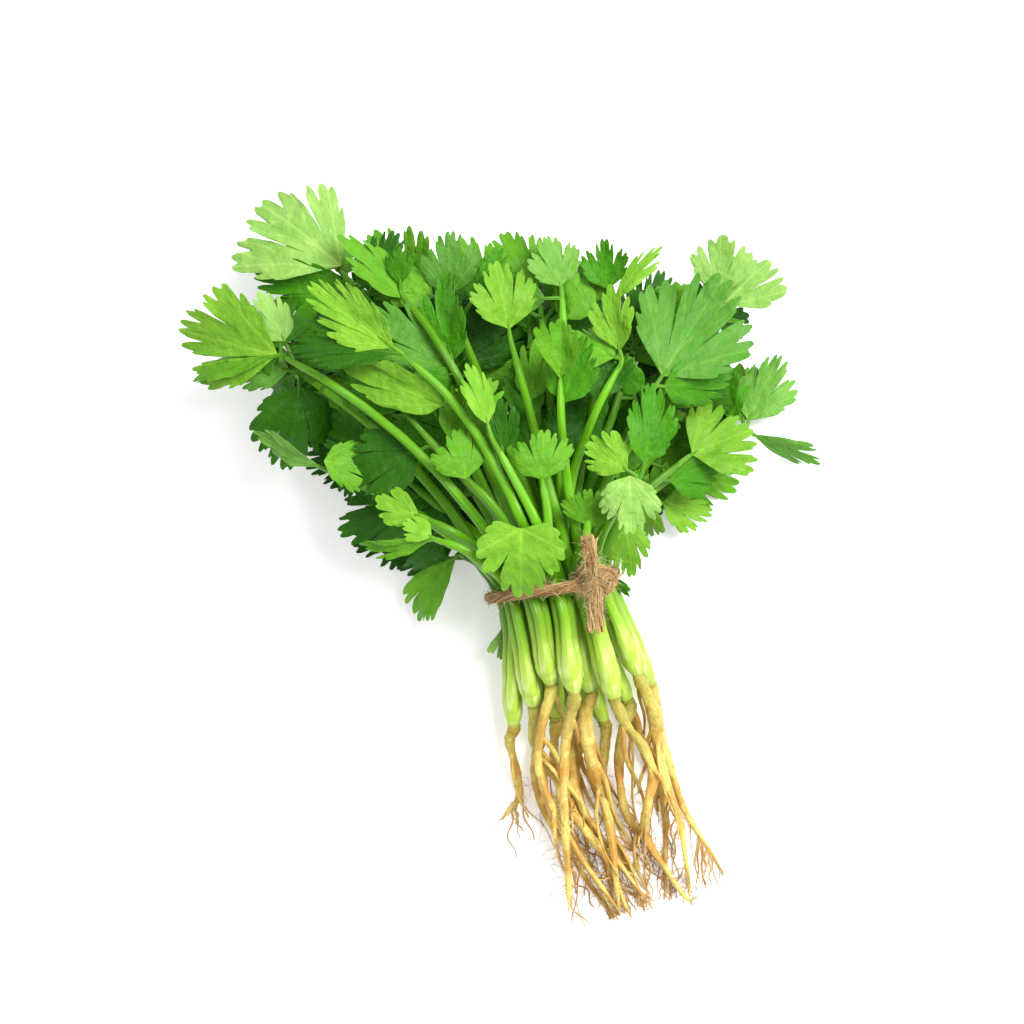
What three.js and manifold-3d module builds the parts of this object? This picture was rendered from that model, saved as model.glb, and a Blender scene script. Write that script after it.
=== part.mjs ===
// A bunch of coriander: fifteen rooted plants lying on their side, tied round the stems with jute twine.
// Millimetres. +Y runs along the bunch from the root tips to the leaves, and +Z is up.
import * as THREE from "three";
import { mergeVertices } from "three/addons/utils/BufferGeometryUtils.js";
import Module from "manifold-3d";

const wasm = await Module();
wasm.setup();

// ---- Driving dimensions -------------------------------------------------------------------------------

const TWINE_RADIUS = 2.7;
const TIE_HALF_WIDTH = 25.5; // from the tie's middle to the twine's own middle, sideways
const TIE_HALF_HEIGHT = 22.8;
const TIE_REACH = 6; // how far the stems run straight on each side of the twine
const KNOT_X = 13.9;
const PETIOLE_RADIUS = 1.95; // at the tie
const PETIOLE_TIP_RADIUS = 1.25; // at the last leaf
const BLADE_THICKNESS = 0.7;
const STALK_HALF_WIDTH = 1.0;
const SLOT_RING = 2.35; // from the middle of a plant to the middle of each of its stems, at the tie
const SLOTS = [90, 210, 330]; // directions of the three stems from that middle, in degrees from +X to +Z
const CROWN_SHARES = [0.42, 0.7, 0.9, 1]; // places down a crown, from the tie to its lower end
const CROWN_RADII = [2.4, 4.2, 4.4, 2.8]; // there
const FOOT_SHARE = 0.75; // how far apart the stems still are where they end in the crown, as a share
const ROOT_GAP = 0.3; // between a crown's cut face and the root below it
const ROOT_PILE_GAP = 0.4; // left between roots that lie on one another
const ROOT_TOP_RADIUS = 2.2;
const ROOT_TOP_LENGTH = 3; // straight on from the crown
const ROOTLET_RADIUS = 0.7;
const ROOTLET_PLACE = [0.25, 0.7]; // least and most, as a share of the root's length
const ROOTLET_LENGTH = [18, 34];
const ROOTLET_TURN = [14, 34]; // away from the root, in degrees
const ROOTLET_SHARES = [0.33, 0.67, 1]; // places along a rootlet
const ROOTLET_CURL = 1.2; // how many of its turns a rootlet has left at its start, one less at its end
const HEAD = { x: 0, y: 70, halfWidth: 112, halfLength: 92, edge: 8, rise: 54 }; // the heap of leaves
const FOLD = 8; // degrees that each half of a blade rises from its rib, where a leaf gives none
const DROOP = 0.1; // of a blade's tip, as a share of its length, where a leaf gives none
const STALK = 3; // from the stem to the blade, where a leaf gives none
const HUB = 0.3; // where the lobes' ribs meet, as a share of the length
const NARROW_BELOW = 13; // width under which a leaf has the narrow outline
const PLAIN_BELOW = 24; // width under which it has the one with fewer teeth
const SAMPLE_STEP = 0.6; // over a blade, to find what lies under it
const GAP = 0.6; // left under a leaf or a root that lies on others
const STEM_GAP = 1.0; // left under a stem
const LARGEST_SLOPE = 1; // of a stem that climbs over what is under it
const STEM_STRETCH = 17; // about how long each straight stretch of a stem is
const FEWEST_STRETCHES = 3; // in a stem
const STEM_HANDLE = 0.36; // reach of a stem's bend from each end, as a share of its length
const STEM_SETTLE = 1.5; // a stem reaches its own height in the heap at one over this of its length
const ROOT_SETTLE = 1.2; // a root reaches the surface at one over this of its length
const SHOULDER = 0.4; // height of a bar's side above its middle line, as a share of its radius
const FINE = 10; // places in each straight stretch of a bar where its height is worked out
const TWINE_REACH = 2; // half width of the ridge that the twine makes in the pile
const CROWN_REACH = 4; // likewise a crown
const PILE = { low: -160, size: 340 }; // the square that the pile covers, from its lowest x and y
const [STEM_SIDES, CROWN_SIDES, TWINE_SIDES] = [4, 7, 7];
const LOOP_STEPS = 20; // of the twine's loop
const LOOP_OPENING = 0.02; // half the angle between the loop's two ends, under the knot, in radians
const BOX_MIDDLE = new THREE.Vector2(2.5, 21.8); // of the whole bunch, from the tie

// ---- Layout -------------------------------------------------------------------------------------------

// The plants: place of the middle of their stems at the tie (x, z), then the crown's lower end (x, y, z),
// its size, and the root's course below it as points (x, y, radius).
const PLANTS = [
  { tie: [-17.6, 23.0], crown: [-27.8, -40, 14.6, 0.88], root: [[-31.3, -47, 1.7], [-32.1, -56, 1.5],
    [-32.4, -63, 1.3], [-34.8, -68, 1.1], [-39.1, -71, 0.8]] },
  { tie: [-15.5, 31.7], crown: [-19.0, -35, 22.3, 1], root: [[-22.7, -48, 1.8], [-23.0, -57, 1.6],
    [-24.6, -70, 1.4], [-22.6, -81, 1.2], [-18.4, -95, 1], [-15.3, -109, 0.7]] },
  { tie: [-8.5, 39.3], crown: [-11.3, -29, 29.5, 0.95], root: [[-17.7, -42, 1.6], [-23.6, -56, 1.3],
    [-24.1, -66, 1.2], [-22.4, -76, 1.1], [-19.6, -90, 0.9], [-15.1, -104, 0.7]] },
  { tie: [0.3, 39.8], crown: [-4.2, -33.5, 34.5, 1.05], root: [[-8.0, -43, 2.0], [-12.3, -52, 1.8],
    [-18.1, -68, 1.6], [-22.2, -85, 1.4], [-25.9, -99, 1.1]] },
  { tie: [4.0, 30.2], crown: [1.2, -36, 22.5, 0.9], root: [[-3.6, -47, 2.6], [-5.9, -62, 2.7],
    [-5.3, -75, 2.0], [-6.8, -89, 1.5], [-9.8, -105, 1.0]] },
  { tie: [9.2, 38.6], crown: [8.4, -40, 29.5, 1.05], root: [[9.6, -52, 1.8], [13.4, -62, 1.7],
    [13.4, -72, 1.8], [9.0, -81, 1.7], [5.0, -93, 1.6], [8.2, -106, 1.0], [12.6, -119, 0.7]] },
  { tie: [15.9, 31.6], crown: [18.6, -34.5, 23.5, 1.08], root: [[19.6, -46, 2.2], [20.2, -54, 2.8],
    [18.2, -64, 1.8], [17.4, -77, 1.5], [18.2, -90, 1.2], [16.2, -104, 0.9], [14.8, -115, 0.6]] },
  { tie: [-0.6, 10.8], crown: [2.5, -49, 4.8, 0.85], root: [[-0.5, -61, 1.8], [-5.0, -74, 1.6],
    [-6.5, -88, 1.2], [-4.5, -99, 1.0], [-3.6, -113, 0.7]] },
  { tie: [9.1, 20.9], crown: [12.6, -44, 14.5, 0.85], root: [[6.8, -57, 1.8], [2.2, -70, 1.6],
    [0.8, -84, 1.5], [5.2, -97, 1.1], [8.5, -108, 0.7]] },
  { tie: [9.7, 12.3], crown: [12.0, -46, 4.6, 0.85], root: [[13.6, -58, 1.7], [16.0, -72, 1.5],
    [14.0, -88, 1.2], [9.0, -105, 0.7]] },
  { tie: [-5.2, 29.6], crown: [-13.0, -42, 15.5, 0.85], root: [[-16.6, -52, 1.7], [-18.8, -64, 1.7],
    [-17.8, -76, 2.0], [-13.7, -87, 1.6], [-10.4, -98, 1.2], [-9.1, -113, 0.7]] },
  { tie: [0.0, 20.2], crown: [-4.4, -42, 12.2, 0.85], root: [[-11.7, -58, 1.7], [-14.1, -72, 1.6],
    [-10.9, -88, 1.3], [-4.6, -106, 0.7]] },
  { tie: [17.4, 21.6], crown: [22.0, -41, 9.5, 0.85], root: [[21.5, -56, 1.6], [20.5, -72, 1.5],
    [21.0, -88, 1.2], [25.0, -104, 0.7]] },
  { tie: [-8.9, 21.9], crown: [-20.3, -46, 8.2, 0.85], root: [[-25.6, -59, 1.6], [-27.0, -73, 1.5],
    [-23.0, -90, 1.2], [-18.0, -108, 0.7]] },
  { tie: [-10.2, 12.7], crown: [-6.6, -49, 4.4, 0.8], root: [[-11.0, -62, 1.6], [-13.5, -76, 1.5],
    [-11.0, -92, 1.2], [-12.0, -106, 0.7]] },
];

// The leafy stems, from the lowest in the heap to the highest. Each: plant, which of its three stems (0 is
// the upper one), end of the stem (x, y), heading there in degrees clockwise from +Y, and its leaves.
// A leaf: place along the stem from 0 to 1, heading, length, width, pitch, roll, fold, droop, stalk.
// Stems without leaves of their own here get them by rule.
const STEMS = [
  { plant: 15, slot: 1, end: [-36, 44] },
  { plant: 10, slot: 2, end: [55, 40] },
  { plant: 8, slot: 1, end: [-12, 78] },
  { plant: 13, slot: 0, end: [42, 20], arrive: 78, leaves: [
    [1, 122, 20, 18, -10, 10, 10, 0.1], [0.6, 152, 21, 15, -8, 12, 10, 0.1, 3]] },
  { plant: 1, slot: 1, end: [-29, 22], arrive: -60, leaves: [
    [1, -122, 30, 19, -12, -22, 15, 0.15, 1], [0.8, -73, 14, 11, -5, 20, 10, 0.1, 6]] },
  { plant: 15, slot: 2, end: [-48, 78] },
  { plant: 10, slot: 1, end: [24, 60] },
  { plant: 8, slot: 2, end: [6, 98] },
  { plant: 15, slot: 0, end: [-32, 94] },
  { plant: 10, slot: 0, end: [50, 72] },
  { plant: 14, slot: 1, end: [-40, 54] },
  { plant: 12, slot: 2, end: [16, 84] },
  { plant: 13, slot: 2, end: [80, 34], arrive: 72, leaves: [
    [1, 40, 28, 24, -8, 16, 8, 0.1], [1, 130, 28, 10, -10, -33, 20, 0.1],
    [0.94, 12, 20, 12, 5, 26, 15, 0.1, 4]] },
  { plant: 13, slot: 1, end: [82, 76], arrive: 52, leaves: [
    [1, 63, 26, 26, -11, 18, 8, 0.1], [1, 20, 22, 22, 5, 5, 8, 0.1, 5],
    [0.92, -28, 18, 15, 0, 0, 10, 0.1, 5]] },
  { plant: 14, slot: 2, end: [-16, 104] },
  { plant: 1, slot: 0, end: [-62, 97], arrive: -40, leaves: [
    [1, -158, 33, 30, -11, 16, 6, 0.12, 3], [0.72, -150, 24, 20, -8, 17, 10, 0.1, 3],
    [1, -60, 24, 20, 0, 0, 10, 0.1]] },
  { plant: 9, slot: 1, end: [23, 96], arrive: 8, leaves: [
    [1, -10, 24, 24, 11, -10, 12, 0.1], [0.94, -42, 22, 18, 8, 15, 10, 0.1, 7],
    [0.92, 50, 18, 16, 5, 0, 10, 0.1, 6]] },
  { plant: 14, slot: 0, end: [-40, 129], arrive: -28, leaves: [
    [1, -12, 32, 36, -5, -8, 6, 0.08], [1, -62, 30, 24, -8, -12, 6, 0.1, 6],
    [0.93, -68, 36, 20, -5, 20, 10, 0.1, 4], [0.88, 40, 22, 20, 0, 10, 10, 0.1, 4]] },
  { plant: 9, slot: 0, end: [46, 90], arrive: 22, leaves: [
    [1, 9, 24, 20, 10, 10, 15, 0.1], [0.97, 36, 32, 11, 5, 38, 20, 0.05, 4],
    [0.93, -40, 18, 16, 0, -15, 10, 0.1, 4]] },
  { plant: 2, slot: 1, end: [-62, 62], arrive: -50, leaves: [
    [1, -49, 33, 11, -6, 40, 15, 0.05], [0.9, -150, 22, 24, -26, 20, 10, 0.2, 3]] },
  { plant: 5, slot: 1, end: [-6, 104], arrive: -4, leaves: [
    [1, 15, 26, 22, 10, 12, 12, 0.1], [1, -50, 20, 17, 0, -12, 10, 0.1, 6],
    [0.93, 48, 22, 18, 8, 10, 10, 0.1, 8]] },
  { plant: 11, slot: 2, end: [-30, 70] },
  { plant: 5, slot: 2, end: [31, 97], arrive: 12, leaves: [
    [1, 3, 24, 22, 10, -15, 15, 0.1], [0.84, 19, 36, 11, 6, 37, 20, 0.05],
    [0.97, -70, 17, 14, 0, 20, 10, 0.1, 5]] },
  { plant: 7, slot: 2, end: [57, 31], arrive: 68, leaves: [
    [1, 76, 28, 34, -13, 10, 8, 0.12], [0.72, 98, 20, 17, -18, -12, 10, 0.1, 4]] },
  { plant: 7, slot: 1, end: [52, 57], arrive: 50, leaves: [
    [1, 51, 44, 46, -10, 6, 6, 0.1], [1, 103, 28, 20, -13, -20, 12, 0.1, 2],
    [0.97, -45, 20, 13, 5, 20, 15, 0.1, 2]] },
  { plant: 11, slot: 0, end: [-21, 112], arrive: -24, leaves: [
    [1, -25, 34, 20, 0, -24, 15, 0.1], [1, 12, 13, 11, 12, 20, 10, 0.1],
    [0.7, -36, 34, 26, -6, -20, 10, 0.1], [0.7, 3, 36, 26, 13, 24, 14, 0.1]] },
  { plant: 2, slot: 2, end: [-36, 38], arrive: -50, leaves: [[1, -56, 20, 17, -10, 17, 14, 0.1]] },
  { plant: 5, slot: 0, end: [43, 68], arrive: 48, leaves: [
    [1, 6, 30, 19, 8, 28, 18, 0.12], [1, -42, 20, 18, -8, -22, 15, 0.12, 2],
    [0.45, 17, 26, 22, 11, -12, 12, 0.1, 2], [0.75, 27, 24, 20, 0, -20, 10, 0.1]] },
  { plant: 2, slot: 0, end: [-34, 29.5], arrive: -62, leaves: [
    [1, -48, 15, 15, 0, -20, 10, 0.1], [1, -86, 26, 8, -10, 36, 15, 0.1, 1]] },
  { plant: 7, slot: 0, end: [38.5, 30], arrive: 56, leaves: [
    [1, 30, 28, 18, 6, -17, 15, 0.1], [0.95, -44, 18, 17, 0, 16, 10, 0.1],
    [0.95, -172, 22, 22, -13, -10, 8, 0.12]] },
  { plant: 3, slot: 1, end: [-66, 104], arrive: -46, leaves: [
    [1, -57, 42, 38, -10, 18, 8, 0.12], [1, -80, 31, 11, -11, -29, 15, 0.15],
    [1, -16, 22, 18, 5, -15, 10, 0.1, 7]] },
  { plant: 6, slot: 1, end: [9.7, 86], arrive: 2, leaves: [
    [1, 9, 30, 27, 10, -10, 24, 0.1], [0.62, 3, 22, 15, 6, -16, 10, 0.1, 3],
    [0.7, 24, 24, 15, 6, 18, 10, 0.1, 3]] },
  { plant: 6, slot: 2, end: [22, 70], arrive: 18, leaves: [
    [1, 33, 28, 24, 21, 12, 28, 0], [0.8, 29, 24, 21, 10, 16, 10, 0.1, 3]] },
  { plant: 4, slot: 1, end: [-26, 91], arrive: -36, leaves: [
    [1, -37, 38, 20, -6, 22, 14, 0.1], [1, -64, 38, 19, -10, -24, 12, 0.1],
    [0.72, -55, 42, 17, -4, 26, 14, 0.1], [0.97, 160, 20, 20, -16, 8, 8, 0.1, 3]] },
  { plant: 3, slot: 2, end: [-18, 46], arrive: -34, leaves: [[1, -4, 20, 22, 18, -6, 12, 0.1]] },
  { plant: 4, slot: 2, end: [-6, 56], arrive: -12, leaves: [
    [1, -2, 30, 17, 6, -29, 18, 0.1], [0.85, 14, 18, 13, 8, 18, 10, 0.1, 2]] },
  { plant: 6, slot: 0, end: [17.7, 22], arrive: 12, leaves: [[1, 20, 19, 23, 26, 4, 26, 0]] },
  { plant: 4, slot: 0, end: [6, 39], arrive: 2, leaves: [[1, 14, 20, 24, 22, 0, 14, 0.1]] },
  { plant: 3, slot: 0, end: [-5.6, 20], arrive: -40, leaves: [[1, -160, 27, 34, -11, 4, 6, 0.12, 2]] },
];

// The leaves by rule: place along the stem and turn away from its heading for each, the ranges that the
// rest is drawn from, with the width as a share of the length, and the fold, droop and stalk of them all.
const RULE_LEAVES = [[1, 0], [0.84, -66], [0.78, 66], [0.52, -52]];
const RULE_LENGTH = [26, 34];
const RULE_TURN = [-10, 10];
const RULE_WIDTH = [0.85, 0.98];
const RULE_PITCH = [-8, 4];
const RULE_ROLL = [-10, 10];
const RULE_SHAPE = [8, 0.1, 4];

// Leaves low on the stems, below the tie: plant, x, y, z, heading, length, width, pitch, roll.
const LOW_LEAVES = [[1, -23.5, -8, 14, -160, 27, 17, -6, 62], [7, 21.5, -3, 24, 165, 16, 12, -6, -60]];

// Half outlines of a leaf as shares of its width and length, from the stalk round to the tip: three toothed
// lobes on a wedge, the same with fewer teeth, and a narrow one.
const FULL_OUTLINE = [[0.07, 0.12], [0.43, 0.36], [0.38, 0.45], [0.5, 0.57], [0.4, 0.62], [0.4, 0.78],
  [0.15, 0.6], [0.24, 0.88], [0.12, 0.88]];
const PLAIN_OUTLINE = [[0.08, 0.12], [0.44, 0.4], [0.4, 0.52], [0.46, 0.74], [0.16, 0.6], [0.2, 0.9]];
const NARROW_OUTLINE = [[0.3, 0.22], [0.5, 0.5], [0.36, 0.72]];

// The twine's ends, from the start of its loop: the cut end that lies up the bunch as a course (x, y) with
// its own radii, and the knot and the other cut end as points (x, y, z, radius).
const UPPER_END = [[-1, 0], [0, 4], [2.2, 9.5], [2.8, 15.5]];
const UPPER_END_RADII = [2.5, 2.6, 2.8, 3.2];
const UPPER_END_LIFT = 1;
const KNOT = [
  [-5, 1, 0, 2.2], [-2, 2.4, 3.2, 3.0], [2, 1.4, 4.2, 3.3], [5, -1, 2, 3.0], [6.4, -0.5, -1.5, 2.2],
];
const LOWER_END = [[1, 0, 1, 2.6], [0, -3, 4.4, 2.8], [-2.2, -10, 4.2, 3.1], [-4.0, -19.5, 2.5, 3.8]];

// ---- Rules --------------------------------------------------------------------------------------------

const rad = THREE.MathUtils.degToRad;
const lerp = THREE.MathUtils.lerp;
const smooth = (t) => THREE.MathUtils.smoothstep(t, 0, 1);

let seed = 4711;
/** The next of a fixed run of draws between low and high. */
function draw(low, high) {
  seed = (seed * 16807) % 2147483647;
  return low + ((high - low) * seed) / 2147483647;
}

/** Height of the top of the heap of leaves over a place. */
function heapTop(x, y) {
  const across = (x - HEAD.x) / HEAD.halfWidth;
  const along = (y - HEAD.y) / HEAD.halfLength;
  return HEAD.edge + HEAD.rise * Math.sqrt(Math.max(0, 1 - across * across - along * along));
}

/** What already lies on the surface: the height of its top over each square millimetre. */
class Pile {
  constructor() {
    this.tops = new Float64Array(PILE.size * PILE.size).fill(-GAP);
  }
  cell(x, y) {
    return Math.floor(y - PILE.low) * PILE.size + Math.floor(x - PILE.low);
  }
  top(x, y) {
    return this.tops[this.cell(x, y)];
  }
  /** Raises every square within reach of a point to its height. */
  raise(point, reach) {
    for (let dx = -reach; dx <= reach; dx++)
      for (let dy = -reach; dy <= reach; dy++) {
        const i = this.cell(point.x + dx, point.y + dy);
        this.tops[i] = Math.max(this.tops[i], point.z);
      }
  }
}

/** A leaf's axes: along its rib, to its right, and up out of its face. */
function leafAxes(heading, pitch, roll) {
  const [h, p, r] = [rad(heading), rad(pitch), rad(roll)];
  const along = new THREE.Vector3(Math.sin(h) * Math.cos(p), Math.cos(h) * Math.cos(p), Math.sin(p));
  const level = new THREE.Vector3(Math.cos(h), -Math.sin(h), 0);
  const up = new THREE.Vector3().crossVectors(level, along);
  const right = level.clone().multiplyScalar(Math.cos(r)).addScaledVector(up, Math.sin(r));
  return { along, right, up: new THREE.Vector3().crossVectors(right, along) };
}

/** The half outline for a leaf of a given width. */
function outlineFor(width) {
  if (width < NARROW_BELOW) return NARROW_OUTLINE;
  return width < PLAIN_BELOW ? PLAIN_OUTLINE : FULL_OUTLINE;
}

/** A leaf's middle surface, from its joint with the stem: its rim's points, its hub and its upward axis. */
function leafPoints(row) {
  const [, heading, length, width, pitch, roll] = row;
  const [fold = FOLD, droop = DROOP, stalk = STALK, outline = outlineFor(width)] = row.slice(6);
  const { along, right, up } = leafAxes(heading, pitch, roll);
  const place = (side, share) => {
    const lift = Math.abs(side) * Math.tan(rad(fold)) - droop * length * share * share;
    return new THREE.Vector3()
      .addScaledVector(along, stalk + share * length)
      .addScaledVector(right, side)
      .addScaledVector(up, lift);
  };
  const lobes = outline.map(([side, share]) => [side * width, share]);
  const rim = [
    right.clone().multiplyScalar(STALK_HALF_WIDTH),
    ...lobes.map(([side, share]) => place(side, share)),
    place(0, 1),
    ...lobes.reverse().map(([side, share]) => place(-side, share)),
    right.clone().multiplyScalar(-STALK_HALF_WIDTH),
  ];
  return { rim, hub: place(0, HUB), up };
}

/** Points no further apart than the sample step over the triangles between a leaf's hub and its rim. */
function leafSamples({ rim, hub }) {
  const samples = [];
  rim.forEach((a, i) => {
    const b = rim[(i + 1) % rim.length];
    const steps = Math.ceil(Math.max(a.distanceTo(b), a.distanceTo(hub), b.distanceTo(hub)) / SAMPLE_STEP);
    for (let j = 0; j <= steps; j++)
      for (let k = 0; k <= steps - j; k++)
        samples.push(
          hub
            .clone()
            .multiplyScalar(1 - (j + k) / steps)
            .addScaledVector(a, j / steps)
            .addScaledVector(b, k / steps),
        );
  });
  return samples;
}

/** Where one of a plant's three stems stands at the tie, from the plant's middle there. */
function slotOffset(slot) {
  const turn = rad(SLOTS[slot]);
  return [SLOT_RING * Math.cos(turn), SLOT_RING * Math.sin(turn)];
}

/** Leaves for a stem that lists none: by rule, with sizes and tilts from the fixed run of draws. */
function leavesByRule(heading) {
  return RULE_LEAVES.map(([at, turn]) => {
    const length = draw(...RULE_LENGTH);
    const leafHeading = heading + turn + draw(...RULE_TURN);
    const width = length * draw(...RULE_WIDTH);
    const pitch = draw(...RULE_PITCH);
    const roll = draw(...RULE_ROLL);
    return [at, leafHeading, length, width, pitch, roll, ...RULE_SHAPE, PLAIN_OUTLINE];
  });
}

/** The place on a course of corners at a number of stretches from its start. */
function placeOn(corners, at) {
  const corner = Math.min(Math.floor(at), corners.length - 2);
  return corners[corner].clone().lerp(corners[corner + 1], at - corner);
}

/**
 * A course's corners with their heights: at least their own, clear of the pile by a gap, high enough for
 * the loads that hang at places along it, and nowhere steeper than the largest slope but at the start.
 */
function heightsOver(pile, flat, radii, startHeight, own, gap, loads = []) {
  const needed = flat.map(own);
  const need = (at, z) => {
    const corner = Math.min(Math.floor(at), flat.length - 2);
    needed[corner] = Math.max(needed[corner], z);
    needed[corner + 1] = Math.max(needed[corner + 1], z);
  };
  for (let i = 0; i <= FINE * (flat.length - 1); i++) {
    const at = i / FINE;
    const corner = Math.min(Math.floor(at), flat.length - 2);
    const p = placeOn(flat, at);
    const radius = lerp(radii[corner], radii[corner + 1], at - corner);
    for (const side of [-1, 0, 1])
      need(at, pile.top(p.x + side * radius, p.y) + radius * (side ? SHOULDER : 1) + gap);
  }
  loads.forEach(({ at, height }) => need(at, height));
  return flat.map((p, i) => {
    const z = Math.max(...needed.map((n, j) => n - LARGEST_SLOPE * p.distanceTo(flat[j])));
    return new THREE.Vector3(p.x, p.y, i === 0 ? startHeight : z);
  });
}

/** Raises the pile by a round bar along corners. */
function raiseBar(pile, corners, radii) {
  for (let i = 0; i <= FINE * (corners.length - 1); i++) {
    const at = i / FINE;
    const corner = Math.min(Math.floor(at), corners.length - 2);
    const radius = lerp(radii[corner], radii[corner + 1], at - corner);
    const p = placeOn(corners, at);
    pile.raise(p.setZ(p.z + radius), Math.round(radius));
  }
}

/** Lays a stem and its leaves on the pile. Returns the stem's corners and its leaves with their joints. */
function layStem(pile, stem, layer) {
  const plant = PLANTS[stem.plant - 1];
  const [offsetX, offsetZ] = slotOffset(stem.slot);
  const start = new THREE.Vector3(plant.tie[0] + offsetX, TIE_REACH, plant.tie[1] + offsetZ);
  const end = new THREE.Vector2(...stem.end);
  const direct = Math.atan2(end.x - start.x, end.y - start.y);
  const arrive = stem.arrive === undefined ? direct : rad(stem.arrive);
  const distance = Math.hypot(end.x - start.x, end.y - start.y);
  const handle = STEM_HANDLE * distance;
  const stretches = Math.max(FEWEST_STRETCHES, Math.round(distance / STEM_STRETCH));
  const flat = new THREE.CubicBezierCurve(
    new THREE.Vector2(start.x, start.y),
    new THREE.Vector2(start.x + handle * Math.sin(direct / 2), start.y + handle * Math.cos(direct / 2)),
    new THREE.Vector2(end.x - handle * Math.sin(arrive), end.y - handle * Math.cos(arrive)),
    end,
  ).getPoints(stretches);
  const rows = stem.leaves ?? leavesByRule(THREE.MathUtils.radToDeg(arrive));
  const leaves = rows.map((row) => {
    const points = leafPoints(row);
    return { at: row[0] * stretches, samples: leafSamples(points), ...points };
  });
  const loads = leaves.map(({ at, samples }) => {
    const p = placeOn(flat, at);
    const lifts = samples.map((s) => pile.top(p.x + s.x, p.y + s.y) - s.z);
    return { at, height: Math.max(...lifts) + BLADE_THICKNESS / 2 + GAP };
  });
  const radii = flat.map((_, i) => lerp(PETIOLE_RADIUS, PETIOLE_TIP_RADIUS, i / stretches));
  const own = (p, i) => lerp(start.z, layer * heapTop(p.x, p.y), smooth((STEM_SETTLE * i) / stretches));
  const corners = heightsOver(pile, flat, radii, start.z, own, STEM_GAP, loads);
  raiseBar(pile, corners, radii);
  for (const leaf of leaves) {
    leaf.joint = placeOn(corners, leaf.at);
    for (const s of leaf.samples)
      pile.raise(s.clone().add(leaf.joint).setZ(s.z + leaf.joint.z + BLADE_THICKNESS / 2), 0);
  }
  return { corners, radii, leaves, plant: stem.plant, slot: stem.slot };
}

/** Lays a root or rootlet on the pile from a start, by the rest of its course (x, y, radius). */
function layRoot(pile, start, startRadius, course) {
  const flat = [new THREE.Vector2(start.x, start.y), ...course.map(([x, y]) => new THREE.Vector2(x, y))];
  const radii = [startRadius, ...course.map(([, , radius]) => radius)];
  const own = (_, i) => lerp(start.z, radii[i], smooth((ROOT_SETTLE * i) / course.length));
  const corners = heightsOver(pile, flat, radii, start.z, own, ROOT_PILE_GAP);
  raiseBar(pile, corners, radii);
  return { corners, radii };
}

/** Lays a root and a rootlet that branches off it to one side, by the fixed run of draws. */
function layRoots(pile, plant, side) {
  const [top, second] = rootTop(plant);
  const main = layRoot(pile, second, ROOT_TOP_RADIUS, plant.root);
  const from = placeOn(main.corners, draw(...ROOTLET_PLACE) * plant.root.length);
  const length = draw(...ROOTLET_LENGTH);
  const turn = side * rad(draw(...ROOTLET_TURN));
  const course = ROOTLET_SHARES.map((share) => {
    const heading = turn * (ROOTLET_CURL - share);
    const reach = share * length;
    return [from.x + reach * Math.sin(heading), from.y - reach * Math.cos(heading), ROOTLET_RADIUS];
  });
  const whole = { corners: [top, ...main.corners], radii: [ROOT_TOP_RADIUS, ...main.radii] };
  return [whole, layRoot(pile, from, ROOTLET_RADIUS, course)];
}

// ---- Geometry -----------------------------------------------------------------------------------------

/** A bar along points, with its own radius at each, flat sides, flat ends and a round bar's section area. */
function barGeometry(points, radii, sides, across = new THREE.Vector3(0, 0, 1)) {
  const swell = Math.sqrt((2 * Math.PI) / (sides * Math.sin((2 * Math.PI) / sides)));
  const positions = [];
  const index = [];
  points.forEach((p, i) => {
    const ahead = points[Math.min(i + 1, points.length - 1)];
    const behind = points[Math.max(i - 1, 0)];
    const tangent = new THREE.Vector3().subVectors(ahead, behind).normalize();
    const side = new THREE.Vector3().crossVectors(tangent, across).normalize();
    const up = new THREE.Vector3().crossVectors(side, tangent);
    for (let j = 0; j < sides; j++) {
      const turn = (2 * Math.PI * (j + 0.5)) / sides;
      const out = side.clone().multiplyScalar(Math.cos(turn)).addScaledVector(up, Math.sin(turn));
      positions.push(...out.multiplyScalar(swell * radii[i]).add(p));
    }
  });
  const ring = (i, j) => i * sides + (j % sides);
  for (let i = 0; i < points.length - 1; i++)
    for (let j = 0; j < sides; j++) {
      index.push(ring(i, j), ring(i + 1, j + 1), ring(i, j + 1));
      index.push(ring(i, j), ring(i + 1, j), ring(i + 1, j + 1));
    }
  const last = points.length - 1;
  for (let j = 1; j < sides - 1; j++) {
    index.push(ring(0, 0), ring(0, j), ring(0, j + 1));
    index.push(ring(last, 0), ring(last, j + 1), ring(last, j));
  }
  const geometry = new THREE.BufferGeometry();
  geometry.setAttribute("position", new THREE.Float32BufferAttribute(positions, 3));
  return geometry.setIndex(index);
}

/** A leaf's blade: a fan of triangles on each face, alike, and a wall round the rim. */
function bladeGeometry({ rim, hub, up, joint }) {
  const face = [...rim, hub];
  const count = face.length;
  const half = up.clone().multiplyScalar(BLADE_THICKNESS / 2);
  const positions = [1, -1].flatMap((side) =>
    face.flatMap((p) => [...p.clone().add(joint).addScaledVector(half, side)]),
  );
  const index = [];
  for (let i = 0; i < rim.length; i++) {
    const next = (i + 1) % rim.length;
    index.push(count - 1, i, next, 2 * count - 1, count + next, count + i);
    index.push(i, count + i, count + next, i, count + next, next);
  }
  const geometry = new THREE.BufferGeometry();
  geometry.setAttribute("position", new THREE.Float32BufferAttribute(positions, 3));
  return geometry.setIndex(index);
}

/** A closed geometry as a solid that can be joined and cut. */
function solidOf(geometry) {
  const bare = geometry.clone();
  bare.deleteAttribute("normal");
  bare.deleteAttribute("uv");
  const merged = mergeVertices(bare, 1e-4);
  return new wasm.Manifold(new wasm.Mesh({
    numProp: 3,
    vertProperties: merged.attributes.position.array,
    triVerts: new Uint32Array(merged.index.array),
  }));
}

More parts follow.
